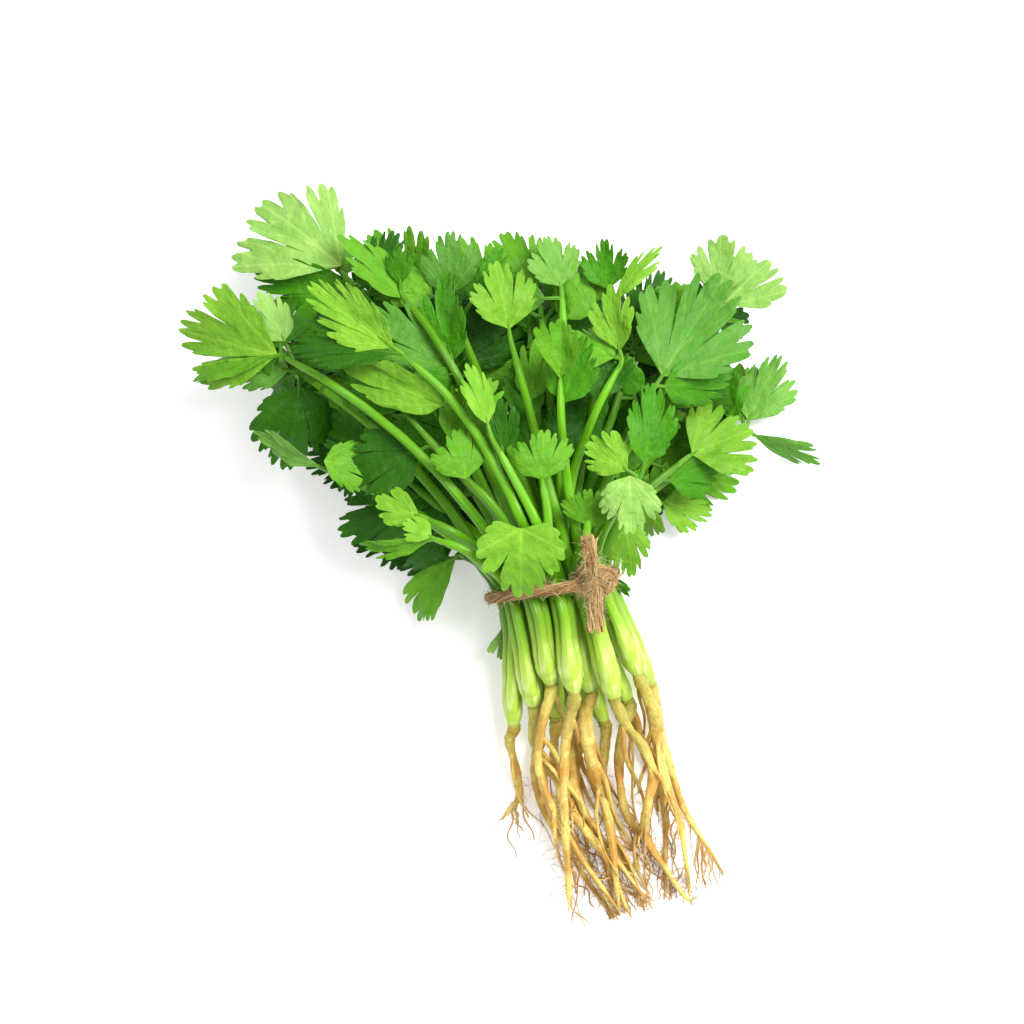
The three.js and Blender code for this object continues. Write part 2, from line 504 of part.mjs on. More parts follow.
/** All the geometries joined in one solid, without what lies under the surface and without loose scraps. */
function fuse(geometries) {
  const joined = geometries.map(solidOf).reduce((a, b) => a.add(b)).trimByPlane([0, 0, 1], 0);
  return joined.decompose().reduce((a, b) => (a.volume() > b.volume() ? a : b));
}

/** A named mesh of a solid. */
function node(name, solid, material) {
  const mesh = solid.getMesh();
  const geometry = new THREE.BufferGeometry();
  geometry.setAttribute("position", new THREE.Float32BufferAttribute(mesh.vertProperties, 3));
  geometry.setIndex([...mesh.triVerts]);
  geometry.computeVertexNormals();
  const made = new THREE.Mesh(geometry, material);
  made.name = name;
  return made;
}

/** A stem from inside its crown, through the tie, to its last leaf. */
function stemBar({ corners, radii, plant, slot }) {
  const [offsetX, offsetZ] = slotOffset(slot);
  const offset = new THREE.Vector3(offsetX, 0, offsetZ);
  const foot = crownPoints(PLANTS[plant - 1])[1].addScaledVector(offset, FOOT_SHARE);
  const below = corners[0].clone().setY(-TIE_REACH);
  return barGeometry([foot, below, ...corners], [PETIOLE_RADIUS, PETIOLE_RADIUS, ...radii], STEM_SIDES);
}

/** The middle line of a plant's crown, down to its lower end. */
function crownPoints({ tie, crown }) {
  const top = new THREE.Vector3(tie[0], -TIE_REACH, tie[1]);
  const end = new THREE.Vector3(crown[0], crown[1], crown[2]);
  return CROWN_SHARES.map((share) => top.clone().lerp(end, share));
}

/** The first two points of a plant's root, straight on from its crown's cut face. */
function rootTop(plant) {
  const [above, end] = crownPoints(plant).slice(-2);
  const away = end.clone().sub(above).normalize();
  const places = [ROOT_GAP, ROOT_GAP + ROOT_TOP_LENGTH];
  return places.map((distance) => end.clone().addScaledVector(away, distance));
}

/** A plant's crown: the swelling where its stems meet above the root. */
function crownBar({ tie, crown }) {
  const radii = CROWN_RADII.map((r) => r * crown[3]);
  return barGeometry(crownPoints({ tie, crown }), radii, CROWN_SIDES);
}

/** The middle line of the twine's loop, once round from the knot, its lowest point just on the surface. */
function twineLoop() {
  const middle = TIE_HALF_HEIGHT + TWINE_RADIUS;
  const first = Math.acos(KNOT_X / TIE_HALF_WIDTH) + LOOP_OPENING;
  const round = 2 * (Math.PI - LOOP_OPENING);
  return Array.from({ length: LOOP_STEPS + 1 }, (_, i) => {
    const turn = first + (round * i) / LOOP_STEPS;
    return new THREE.Vector3(TIE_HALF_WIDTH * Math.cos(turn), 0, middle + TIE_HALF_HEIGHT * Math.sin(turn));
  });
}

/** The twine round the stems, its knot on top and the two cut ends. */
function twineBars(pile) {
  const loop = twineLoop();
  const sideways = new THREE.Vector3(0, 1, 0);
  const placed = (points) => points.map(([x, y, z]) => new THREE.Vector3(x, y, z).add(loop[0]));
  const radiiOf = (points) => points.map(([, , , radius]) => radius);
  const flat = UPPER_END.map(([x, y]) => new THREE.Vector2(loop[0].x + x, y));
  const upperEnd = heightsOver(pile, flat, UPPER_END_RADII, loop[0].z + UPPER_END_LIFT, () => 0, GAP);
  return [
    barGeometry(loop, loop.map(() => TWINE_RADIUS), TWINE_SIDES, sideways),
    barGeometry(placed(KNOT), radiiOf(KNOT), TWINE_SIDES, sideways),
    barGeometry(upperEnd, UPPER_END_RADII, TWINE_SIDES),
    barGeometry(placed(LOWER_END), radiiOf(LOWER_END), TWINE_SIDES),
  ];
}

// ---- The bunch ----------------------------------------------------------------------------------------

const GREEN = new THREE.MeshStandardMaterial({ color: 0x6fae35, roughness: 0.55, metalness: 0 });
const TAN = new THREE.MeshStandardMaterial({ color: 0xc9ab62, roughness: 0.7, metalness: 0 });
const JUTE = new THREE.MeshStandardMaterial({ color: 0xb07f4e, roughness: 0.95, metalness: 0 });

const pile = new Pile();
twineLoop().forEach((p) => pile.raise(p.clone().setZ(p.z + TWINE_RADIUS), TWINE_REACH));
const stems = STEMS.map((stem, i) => layStem(pile, stem, i / (STEMS.length - 1)));
const twine = twineBars(pile);
const roots = [];
PLANTS.map((_, i) => i)
  .sort((a, b) => PLANTS[a].crown[2] - PLANTS[b].crown[2])
  .forEach((i) => {
    roots[i] = layRoots(pile, PLANTS[i], i % 2 ? 1 : -1);
    crownPoints(PLANTS[i]).forEach((p) => pile.raise(p.clone().setZ(p.z + CROWN_RADII[2]), CROWN_REACH));
  });

const bunch = new THREE.Group();
bunch.position.set(-BOX_MIDDLE.x, -BOX_MIDDLE.y, 0);
PLANTS.forEach((plant, i) => {
  const own = stems.filter((stem) => stem.plant === i + 1);
  const low = LOW_LEAVES.filter(([number]) => number === i + 1).map(([, x, y, z, heading, ...shape]) => ({
    ...leafPoints([0, heading, ...shape]),
    joint: new THREE.Vector3(x, y, z),
  }));
  const blades = [...own.flatMap((stem) => stem.leaves), ...low].map(bladeGeometry);
  const number = String(i + 1).padStart(2, "0");
  bunch.add(node(`plant_${number}`, fuse([crownBar(plant), ...own.map(stemBar), ...blades]), GREEN));
  const bars = roots[i].map(({ corners, radii }) => barGeometry(corners, radii, STEM_SIDES));
  bunch.add(node(`root_${number}`, fuse(bars), TAN));
});
bunch.add(node("twine", fuse(twine), JUTE));

const part = new THREE.Group();
part.add(bunch);
export default part;
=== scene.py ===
"""A bunch of coriander on its side, tied with jute twine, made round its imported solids.

Lengths in the layout are millimetres from the middle of the tie; +Y runs up the bunch and +Z is up.
"""

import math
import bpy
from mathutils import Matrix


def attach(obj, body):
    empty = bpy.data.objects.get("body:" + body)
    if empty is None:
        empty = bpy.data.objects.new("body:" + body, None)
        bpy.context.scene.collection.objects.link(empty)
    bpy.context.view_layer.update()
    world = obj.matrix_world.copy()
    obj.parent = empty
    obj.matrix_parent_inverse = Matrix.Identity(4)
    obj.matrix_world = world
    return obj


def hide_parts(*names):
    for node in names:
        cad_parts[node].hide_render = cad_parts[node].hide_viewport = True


bl_info = {
    "name": "Coriander Bunch",
    "version": (1, 0, 0),
    "blender": (4, 5, 0),
    "location": "3D View > Sidebar > Coriander",
    "description": "Makes the leaves, stalks, crowns, roots and twine of a tied bunch of coriander",
    "category": "Add Mesh",
}

import bpy
import numpy as np

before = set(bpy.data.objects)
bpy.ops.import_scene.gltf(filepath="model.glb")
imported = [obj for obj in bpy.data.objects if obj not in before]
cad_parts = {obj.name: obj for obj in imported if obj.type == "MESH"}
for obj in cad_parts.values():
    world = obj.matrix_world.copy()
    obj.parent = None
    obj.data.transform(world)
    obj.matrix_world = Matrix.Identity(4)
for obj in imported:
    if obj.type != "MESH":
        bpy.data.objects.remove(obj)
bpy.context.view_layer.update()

MM = 0.001
BOX_MIDDLE = np.array([2.5, 21.8, 0.0])  # of the whole bunch, from the tie

# ---- Layout, as in the solids -------------------------------------------------------------------------

TWINE_RADIUS = 2.7
TIE_HALF_WIDTH = 25.5
TIE_HALF_HEIGHT = 22.8
TIE_REACH = 6  # how far the stems run straight on each side of the twine
KNOT_X = 13.9
LOOP_OPENING = 0.02  # half the angle between the loop's two ends, under the knot, in radians
LOOP_STEPS = 20
PETIOLE_RADIUS = 1.95
PETIOLE_TIP_RADIUS = 1.25
BLADE_THICKNESS = 0.7  # that the heap was laid with
STALK_HALF_WIDTH = 1.0
SLOT_RING = 2.35  # from the middle of a plant to the middle of each of its stems, at the tie
SLOTS = (90, 210, 330)
CROWN_SHARES = (0.42, 0.7, 0.9, 1)
CROWN_RADII = (2.4, 4.2, 4.4, 2.8)
ROOT_GAP = 0.3
ROOT_PILE_GAP = 0.4
ROOT_TOP_RADIUS = 2.2
ROOT_TOP_LENGTH = 3
ROOTLET_RADIUS = 0.7
ROOTLET_PLACE = (0.25, 0.7)
ROOTLET_LENGTH = (18, 34)
ROOTLET_TURN = (14, 34)
ROOTLET_SHARES = (0.33, 0.67, 1)
ROOTLET_CURL = 1.2
HEAD_HALF_WIDTH = 112  # of the heap of leaves
HEAD_HALF_LENGTH = 92
HEAD_Y = 70
HEAD_EDGE = 8
HEAD_RISE = 54
FOLD = 8  # degrees that each half of a blade rises from its rib, where a leaf gives none
DROOP = 0.1  # of a blade's tip, as a share of its length, where a leaf gives none
STALK = 3  # from the stem to the blade, where a leaf gives none
HUB = 0.3
NARROW_BELOW = 13
PLAIN_BELOW = 24
SAMPLE_STEP = 0.6
GAP = 0.6
STEM_GAP = 1.0
LARGEST_SLOPE = 1
STEM_STRETCH = 17
FEWEST_STRETCHES = 3
STEM_HANDLE = 0.36
STEM_SETTLE = 1.5
ROOT_SETTLE = 1.2
SHOULDER = 0.4
FINE = 10
TWINE_REACH = 2
CROWN_REACH = 4
PILE_LOW = -160
PILE_SIZE = 340

# The plants: middle of the stems at the tie (x, z), the crown's lower end (x, y, z) and size, and the
# root's course below it (x, y, radius).
PLANTS = [
    ((-17.6, 23.0), (-27.8, -40, 14.6, 0.88), [(-31.3, -47, 1.7), (-32.1, -56, 1.5),
        (-32.4, -63, 1.3), (-34.8, -68, 1.1), (-39.1, -71, 0.8)]),
    ((-15.5, 31.7), (-19.0, -35, 22.3, 1), [(-22.7, -48, 1.8), (-23.0, -57, 1.6), (-24.6, -70, 1.4),
        (-22.6, -81, 1.2), (-18.4, -95, 1), (-15.3, -109, 0.7)]),
    ((-8.5, 39.3), (-11.3, -29, 29.5, 0.95), [(-17.7, -42, 1.6), (-23.6, -56, 1.3),
        (-24.1, -66, 1.2), (-22.4, -76, 1.1), (-19.6, -90, 0.9), (-15.1, -104, 0.7)]),
    ((0.3, 39.8), (-4.2, -33.5, 34.5, 1.05), [(-8.0, -43, 2.0), (-12.3, -52, 1.8), (-18.1, -68, 1.6),
        (-22.2, -85, 1.4), (-25.9, -99, 1.1)]),
    ((4.0, 30.2), (1.2, -36, 22.5, 0.9), [(-3.6, -47, 2.6), (-5.9, -62, 2.7), (-5.3, -75, 2.0),
        (-6.8, -89, 1.5), (-9.8, -105, 1.0)]),
    ((9.2, 38.6), (8.4, -40, 29.5, 1.05), [(9.6, -52, 1.8), (13.4, -62, 1.7), (13.4, -72, 1.8),
        (9.0, -81, 1.7), (5.0, -93, 1.6), (8.2, -106, 1.0), (12.6, -119, 0.7)]),
    ((15.9, 31.6), (18.6, -34.5, 23.5, 1.08), [(19.6, -46, 2.2), (20.2, -54, 2.8), (18.2, -64, 1.8),
        (17.4, -77, 1.5), (18.2, -90, 1.2), (16.2, -104, 0.9), (14.8, -115, 0.6)]),
    ((-0.6, 10.8), (2.5, -49, 4.8, 0.85), [(-0.5, -61, 1.8), (-5.0, -74, 1.6), (-6.5, -88, 1.2),
        (-4.5, -99, 1.0), (-3.6, -113, 0.7)]),
    ((9.1, 20.9), (12.6, -44, 14.5, 0.85), [(6.8, -57, 1.8), (2.2, -70, 1.6), (0.8, -84, 1.5),
        (5.2, -97, 1.1), (8.5, -108, 0.7)]),
    ((9.7, 12.3), (12.0, -46, 4.6, 0.85), [(13.6, -58, 1.7), (16.0, -72, 1.5), (14.0, -88, 1.2),
        (9.0, -105, 0.7)]),
    ((-5.2, 29.6), (-13.0, -42, 15.5, 0.85), [(-16.6, -52, 1.7), (-18.8, -64, 1.7),
        (-17.8, -76, 2.0), (-13.7, -87, 1.6), (-10.4, -98, 1.2), (-9.1, -113, 0.7)]),
    ((0.0, 20.2), (-4.4, -42, 12.2, 0.85), [(-11.7, -58, 1.7), (-14.1, -72, 1.6), (-10.9, -88, 1.3),
        (-4.6, -106, 0.7)]),
    ((17.4, 21.6), (22.0, -41, 9.5, 0.85), [(21.5, -56, 1.6), (20.5, -72, 1.5), (21.0, -88, 1.2),
        (25.0, -104, 0.7)]),
    ((-8.9, 21.9), (-20.3, -46, 8.2, 0.85), [(-25.6, -59, 1.6), (-27.0, -73, 1.5), (-23.0, -90, 1.2),
        (-18.0, -108, 0.7)]),
    ((-10.2, 12.7), (-6.6, -49, 4.4, 0.8), [(-11.0, -62, 1.6), (-13.5, -76, 1.5), (-11.0, -92, 1.2),
        (-12.0, -106, 0.7)]),
]

# The leafy stems, from the lowest in the heap to the highest: plant, which of its three stems, end (x, y),
# heading there, the tone of each leaf, and the leaves, or None for leaves by rule. A leaf: place along the
# stem, heading, length, width, pitch, roll, fold, droop, stalk.
STEMS = [
    (15, 1, (-36, 44), None, "mdmd", None),
    (10, 2, (55, 40), None, "dmfm", None),
    (8, 1, (-12, 78), None, "mdmd", None),
    (13, 0, (42, 20), 78, "bb", [
        (1, 122, 20, 18, -10, 10, 10, 0.1), (0.6, 152, 21, 15, -8, 12, 10, 0.1, 3)]),
    (1, 1, (-29, 22), -60, "fm", [
        (1, -122, 30, 19, -12, -22, 15, 0.15, 1), (0.8, -73, 14, 11, -5, 20, 10, 0.1, 6)]),
    (15, 2, (-48, 78), None, "mdmf", None),
    (10, 1, (24, 60), None, "dmmd", None),
    (8, 2, (6, 98), None, "fmdm", None),
    (15, 0, (-32, 94), None, "mfmd", None),
    (10, 0, (50, 72), None, "dmfm", None),
    (14, 1, (-40, 54), None, "mdmd", None),
    (12, 2, (16, 84), None, "mfdm", None),
    (13, 2, (80, 34), 72, "lum", [
        (1, 40, 28, 24, -8, 16, 8, 0.1), (1, 130, 28, 10, -10, -33, 20, 0.1),
        (0.94, 12, 20, 12, 5, 26, 15, 0.1, 4)]),
    (13, 1, (82, 76), 52, "ppf", [
        (1, 63, 26, 26, -11, 18, 8, 0.1), (1, 20, 22, 22, 5, 5, 8, 0.1, 5),
        (0.92, -28, 18, 15, 0, 0, 10, 0.1, 5)]),
    (14, 2, (-16, 104), None, "fmdm", None),
    (1, 0, (-62, 97), -40, "ddu", [
        (1, -158, 33, 30, -11, 16, 6, 0.12, 3), (0.72, -150, 24, 20, -8, 17, 10, 0.1, 3),
        (1, -60, 24, 20, 0, 0, 10, 0.1)]),
    (9, 1, (23, 96), 8, "fmm", [
        (1, -10, 24, 24, 11, -10, 12, 0.1), (0.94, -42, 22, 18, 8, 15, 10, 0.1, 7),
        (0.92, 50, 18, 16, 5, 0, 10, 0.1, 6)]),
    (14, 0, (-40, 129), -28, "pfmd", [
        (1, -12, 32, 36, -5, -8, 6, 0.08), (1, -62, 30, 24, -8, -12, 6, 0.1, 6),
        (0.93, -68, 36, 20, -5, 20, 10, 0.1, 4), (0.88, 40, 22, 20, 0, 10, 10, 0.1, 4)]),
    (9, 0, (46, 90), 22, "mbf", [
        (1, 9, 24, 20, 10, 10, 15, 0.1), (0.97, 36, 32, 11, 5, 38, 20, 0.05, 4),
        (0.93, -40, 18, 16, 0, -15, 10, 0.1, 4)]),
    (2, 1, (-62, 62), -50, "lf", [
        (1, -49, 33, 11, -6, 40, 15, 0.05), (0.9, -150, 22, 24, -26, 20, 10, 0.2, 3)]),
    (5, 1, (-6, 104), -4, "ufm", [
        (1, 15, 26, 22, 10, 12, 12, 0.1), (1, -50, 20, 17, 0, -12, 10, 0.1, 6),
        (0.93, 48, 22, 18, 8, 10, 10, 0.1, 8)]),
    (11, 2, (-30, 70), None, "mdfd", None),
    (5, 2, (31, 97), 12, "lfu", [
        (1, 3, 24, 22, 10, -15, 15, 0.1), (0.84, 19, 36, 11, 6, 37, 20, 0.05),
        (0.97, -70, 17, 14, 0, 20, 10, 0.1, 5)]),
    (7, 2, (57, 31), 68, "bm", [
        (1, 76, 28, 34, -13, 10, 8, 0.12), (0.72, 98, 20, 17, -18, -12, 10, 0.1, 4)]),
    (7, 1, (52, 57), 50, "umm", [
        (1, 51, 44, 46, -10, 6, 6, 0.1), (1, 103, 28, 20, -13, -20, 12, 0.1, 2),
        (0.97, -45, 20, 13, 5, 20, 15, 0.1, 2)]),
    (11, 0, (-21, 112), -24, "fmum", [
        (1, -25, 34, 20, 0, -24, 15, 0.1), (1, 12, 13, 11, 12, 20, 10, 0.1),
        (0.7, -36, 34, 26, -6, -20, 10, 0.1), (0.7, 3, 36, 26, 13, 24, 14, 0.1)]),
    (2, 2, (-36, 38), -50, "b", [
        (1, -56, 20, 17, -10, 17, 14, 0.1)]),
    (5, 0, (43, 68), 48, "bfdd", [
        (1, 6, 30, 19, 8, 28, 18, 0.12), (1, -42, 20, 18, -8, -22, 15, 0.12, 2),
        (0.45, 17, 26, 22, 11, -12, 12, 0.1, 2), (0.75, 27, 24, 20, 0, -20, 10, 0.1)]),
    (2, 0, (-34, 29.5), -62, "bf", [
        (1, -48, 15, 15, 0, -20, 10, 0.1), (1, -86, 26, 8, -10, 36, 15, 0.1, 1)]),
    (7, 0, (38.5, 30), 56, "mbp", [
        (1, 30, 28, 18, 6, -17, 15, 0.1), (0.95, -44, 18, 17, 0, 16, 10, 0.1),
        (0.95, -172, 22, 22, -13, -10, 8, 0.12)]),
    (3, 1, (-66, 104), -46, "bfp", [
        (1, -57, 42, 38, -10, 18, 8, 0.12), (1, -80, 31, 11, -11, -29, 15, 0.15),
        (1, -16, 22, 18, 5, -15, 10, 0.1, 7)]),
    (6, 1, (9.7, 86), 2, "bmf", [
        (1, 9, 30, 27, 10, -10, 24, 0.1), (0.62, 3, 22, 15, 6, -16, 10, 0.1, 3),
        (0.7, 24, 24, 15, 6, 18, 10, 0.1, 3)]),
    (6, 2, (22, 70), 18, "fm", [
        (1, 33, 28, 24, 21, 12, 28, 0), (0.8, 29, 24, 21, 10, 16, 10, 0.1, 3)]),
    (4, 1, (-26, 91), -36, "bdbm", [
        (1, -37, 38, 20, -6, 22, 14, 0.1), (1, -64, 38, 19, -10, -24, 12, 0.1),
        (0.72, -55, 42, 17, -4, 26, 14, 0.1), (0.97, 160, 20, 20, -16, 8, 8, 0.1, 3)]),
    (3, 2, (-18, 46), -34, "f", [
        (1, -4, 20, 22, 18, -6, 12, 0.1)]),
    (4, 2, (-6, 56), -12, "bd", [
        (1, -2, 30, 17, 6, -29, 18, 0.1), (0.85, 14, 18, 13, 8, 18, 10, 0.1, 2)]),
    (6, 0, (17.7, 22), 12, "f", [
        (1, 20, 19, 23, 26, 4, 26, 0)]),
    (4, 0, (6, 39), 2, "f", [
        (1, 14, 20, 24, 22, 0, 14, 0.1)]),
    (3, 0, (-5.6, 20), -40, "b", [
        (1, -160, 27, 34, -11, 4, 6, 0.12, 2)]),
]

RULE_LEAVES = ((1, 0), (0.84, -66), (0.78, 66), (0.52, -52))
RULE_LENGTH = (26, 34)
RULE_TURN = (-10, 10)
RULE_WIDTH = (0.85, 0.98)
RULE_PITCH = (-8, 4)
RULE_ROLL = (-10, 10)
RULE_SHAPE = (8, 0.1, 4)

# Leaves low on the stems: plant, joint (x, y, z), tone, and a leaf as above.
LOW_LEAVES = (
    (1, (-21, -4, 17), "p", (0, -168, 22, 18, -6, 30)),
    (7, (20.5, 2, 25), "f", (0, 172, 17, 13, -6, -50)),
)

# The outlines that the heap was laid with, as shares of a leaf's width and length.
FULL_OUTLINE = ((0.07, 0.12), (0.43, 0.36), (0.38, 0.45), (0.5, 0.57), (0.4, 0.62), (0.4, 0.78),
                (0.15, 0.6), (0.24, 0.88), (0.12, 0.88))
PLAIN_OUTLINE = ((0.08, 0.12), (0.44, 0.4), (0.4, 0.52), (0.46, 0.74), (0.16, 0.6), (0.2, 0.9))
NARROW_OUTLINE = ((0.3, 0.22), (0.5, 0.5), (0.36, 0.72))

# The twine's ends, from the start of its loop: the upper cut end's course (x, y) with its radii, the knot
# and the lower cut end.
UPPER_END = ((-1, 0), (-0.8, 4), (0.9, 9.5), (1.4, 16))
UPPER_END_RADII = (2.5, 2.6, 2.8, 3.2)
UPPER_END_LIFT = 1
LOWER_END = ((1, 0, 1), (-0.4, -3, 4.4), (-2.8, -9, 4.2), (-4.8, -17, 2.5))
LOWER_END_RADII = (2.6, 2.8, 3.1, 3.8)

UP = np.array([0.0, 0.0, 1.0])


def mix(low, high, share):
    return (1 - share) * low + share * high


def smooth(share):
    """From 0 to 1 with a level start and end: 3 t squared less 2 t cubed."""
    t = np.clip(share, 0, 1)
    return t * t * (3 - 2 * t)


class Draws:
    """A fixed run of draws between two values."""

    def __init__(self, seed):
        self.seed = seed

    def __call__(self, low, high):
        self.seed = self.seed * 16807 % 2147483647
        return low + (high - low) * self.seed / 2147483647


def heap_top(x, y):
    """Height of the top of the heap of leaves over a place: half an ellipsoid on a low edge."""
    inside = 1 - (x / HEAD_HALF_WIDTH) ** 2 - ((y - HEAD_Y) / HEAD_HALF_LENGTH) ** 2
    return HEAD_EDGE + HEAD_RISE * np.sqrt(np.maximum(0, inside))


class Pile:
    """What already lies on the surface: the height of its top over each square millimetre."""

    def __init__(self):
        self.tops = np.full(PILE_SIZE * PILE_SIZE, -GAP)

    def cell(self, x, y):
        return (np.floor(y - PILE_LOW) * PILE_SIZE + np.floor(x - PILE_LOW)).astype(int)

    def top(self, x, y):
        return self.tops[self.cell(x, y)]

    def lift(self, points, reach):
        """Raises every square within reach of each point to its height."""
        for dx in range(-reach, reach + 1):
            for dy in range(-reach, reach + 1):
                cells = self.cell(points[:, 0] + dx, points[:, 1] + dy)
                np.maximum.at(self.tops, cells, points[:, 2])


def leaf_axes(heading, pitch, roll):
    """A leaf's axes: along its rib, to its right, and up out of its face."""
    h, p, r = np.radians([heading, pitch, roll])
    along = np.array([np.sin(h) * np.cos(p), np.cos(h) * np.cos(p), np.sin(p)])
    level = np.array([np.cos(h), -np.sin(h), 0])
    right = level * np.cos(r) + np.cross(level, along) * np.sin(r)
    return along, right, np.cross(right, along)


def leaf_shape(row):
    """A leaf's length, width, fold, droop and stalk, with the usual ones where its row gives none."""
    fold, droop, stalk = tuple(row[6:9]) + (FOLD, DROOP, STALK)[max(0, len(row) - 6):]
    return row[2], row[3], fold, droop, stalk


def laid_samples(row, outline):
    """Points close together over the flat-sided blade that the heap was laid with, from its joint."""
    along, right, up = leaf_axes(row[1], row[4], row[5])
    length, width, fold, droop, stalk = leaf_shape(row)

    def place(side, share):
        lift = abs(side) * math.tan(math.radians(fold)) - droop * length * share * share
        return along * (stalk + share * length) + right * side + up * lift

    lobes = [(side * width, share) for side, share in outline]
    rim = [right * STALK_HALF_WIDTH]
    rim += [place(side, share) for side, share in lobes]
    rim += [place(0, 1)]
    rim += [place(-side, share) for side, share in reversed(lobes)]
    rim += [right * -STALK_HALF_WIDTH]
    hub = place(0, HUB)
    samples = []
    for a, b in zip(rim, rim[1:] + rim[:1]):
        longest = max(np.linalg.norm(a - b), np.linalg.norm(a - hub), np.linalg.norm(b - hub))
        steps = math.ceil(longest / SAMPLE_STEP)
        j, k = np.meshgrid(np.arange(steps + 1), np.arange(steps + 1), indexing="ij")
        inside = j + k <= steps
        j, k = j[inside][:, None] / steps, k[inside][:, None] / steps
        samples.append(hub * (1 - j - k) + a * j + b * k)
    return np.concatenate(samples)


def leaves_by_rule(heading, draw):
    """Leaves for a stem that lists none, with sizes and tilts from the fixed run of draws."""
    leaves = []
    for at, turn in RULE_LEAVES:
        length = draw(*RULE_LENGTH)
        leaf_heading = heading + turn + draw(*RULE_TURN)
        width = length * draw(*RULE_WIDTH)
        pitch = draw(*RULE_PITCH)
        roll = draw(*RULE_ROLL)
        leaves.append((at, leaf_heading, length, width, pitch, roll, *RULE_SHAPE))
    return leaves


def place_on(corners, at):
    """The places on a course of corners at numbers of stretches from its start."""
    at = np.asarray(at, float)
    corner = np.minimum(np.floor(at).astype(int), len(corners) - 2)
    share = at - corner
    share = share[..., None] if corners.ndim == 2 else share
    return corners[corner] + (corners[corner + 1] - corners[corner]) * share


def heights_over(pile, flat, radii, start_height, own, gap, loads=()):
    """A course's corners with their heights: at least their own, clear of the pile, high enough for the
    loads that hang along it, and nowhere steeper than the largest slope but at the start."""
    needed = np.array(own, float)
    at = np.arange(FINE * (len(flat) - 1) + 1) / FINE
    places = place_on(flat, at)
    radius = place_on(radii, at)
    corner = np.minimum(np.floor(at).astype(int), len(flat) - 2)
    for side in (-1, 0, 1):
        rise = radius * (SHOULDER if side else 1)
        height = pile.top(places[:, 0] + side * radius, places[:, 1]) + rise + gap
        np.maximum.at(needed, corner, height)
        np.maximum.at(needed, corner + 1, height)
    for at_load, height in loads:
        first = min(math.floor(at_load), len(flat) - 2)
        needed[first:first + 2] = np.maximum(needed[first:first + 2], height)
    apart = np.linalg.norm(flat[:, None] - flat[None], axis=-1)
    z = (needed[None] - LARGEST_SLOPE * apart).max(axis=1)
    z[0] = start_height
    return np.column_stack([flat, z])


def lift_bar(pile, corners, radii):
    """Raises the pile by a round bar along corners."""
    at = np.arange(FINE * (len(corners) - 1) + 1) / FINE
    radius = place_on(radii, at)
    tops = place_on(corners, at) + UP * radius[:, None]
    reach = np.floor(radius + 0.5).astype(int)
    for size in np.unique(reach):
        pile.lift(tops[reach == size], int(size))


def slot_offset(slot):
    """Where one of a plant's three stems stands at the tie, from the plant's middle there."""
    turn = math.radians(SLOTS[slot])
    return np.array([SLOT_RING * math.cos(turn), 0, SLOT_RING * math.sin(turn)])


def lay_stem(pile, stem, layer, draw):
    """Lays a stem and its leaves on the pile. Returns its corners and its leaves with their joints."""
    plant, slot, end, arrive, tones, rows = stem
    tie = PLANTS[plant - 1][0]
    start = np.array([tie[0], TIE_REACH, tie[1]]) + slot_offset(slot)
    end = np.array(end, float)
    direct = math.atan2(end[0] - start[0], end[1] - start[1])
    arrive = direct if arrive is None else math.radians(arrive)
    distance = math.hypot(end[0] - start[0], end[1] - start[1])
    handle = STEM_HANDLE * distance
    stretches = max(FEWEST_STRETCHES, math.floor(distance / STEM_STRETCH + 0.5))
    first = start[:2] + handle * np.array([math.sin(direct / 2), math.cos(direct / 2)])
    second = end - handle * np.array([math.sin(arrive), math.cos(arrive)])
    t = (np.arange(stretches + 1) / stretches)[:, None]
    flat = (1 - t) ** 3 * start[:2] + 3 * (1 - t) ** 2 * t * first
    flat = flat + 3 * (1 - t) * t * t * second + t ** 3 * end
    by_rule = rows is None
    rows = leaves_by_rule(math.degrees(arrive), draw) if by_rule else rows
    leaves, loads = [], []
    for row, tone in zip(rows, tones):
        at = row[0] * stretches
        samples = laid_samples(row, PLAIN_OUTLINE if by_rule else outline_for(row[3]))
        joint = place_on(flat, at)
        lifts = pile.top(joint[0] + samples[:, 0], joint[1] + samples[:, 1]) - samples[:, 2]
        loads.append((at, lifts.max() + BLADE_THICKNESS / 2 + GAP))
        leaves.append({"row": row, "tone": tone, "at": at, "samples": samples})
    i = np.arange(stretches + 1)
    radii = mix(PETIOLE_RADIUS, PETIOLE_TIP_RADIUS, i / stretches)
    in_heap = layer * heap_top(flat[:, 0], flat[:, 1])
    own = mix(start[2], in_heap, smooth(STEM_SETTLE * i / stretches))
    corners = heights_over(pile, flat, radii, start[2], own, STEM_GAP, loads)
    lift_bar(pile, corners, radii)
    for leaf in leaves:
        leaf["joint"] = place_on(corners, leaf["at"])
        tops = leaf.pop("samples") + leaf["joint"] + UP * (BLADE_THICKNESS / 2)
        pile.lift(tops, 0)
    return {"plant": plant, "slot": slot, "corners": corners, "radii": radii, "leaves": leaves}


def outline_for(width):
    """The half outline that a leaf of a given width was laid with."""
    if width < NARROW_BELOW:
        return NARROW_OUTLINE
    return PLAIN_OUTLINE if width < PLAIN_BELOW else FULL_OUTLINE


def crown_points(plant):
    """The middle line of a plant's crown, down to its lower end."""
    tie, crown, _ = plant
    top = np.array([tie[0], -TIE_REACH, tie[1]])
    return top + (np.array(crown[:3]) - top) * np.array(CROWN_SHARES)[:, None]


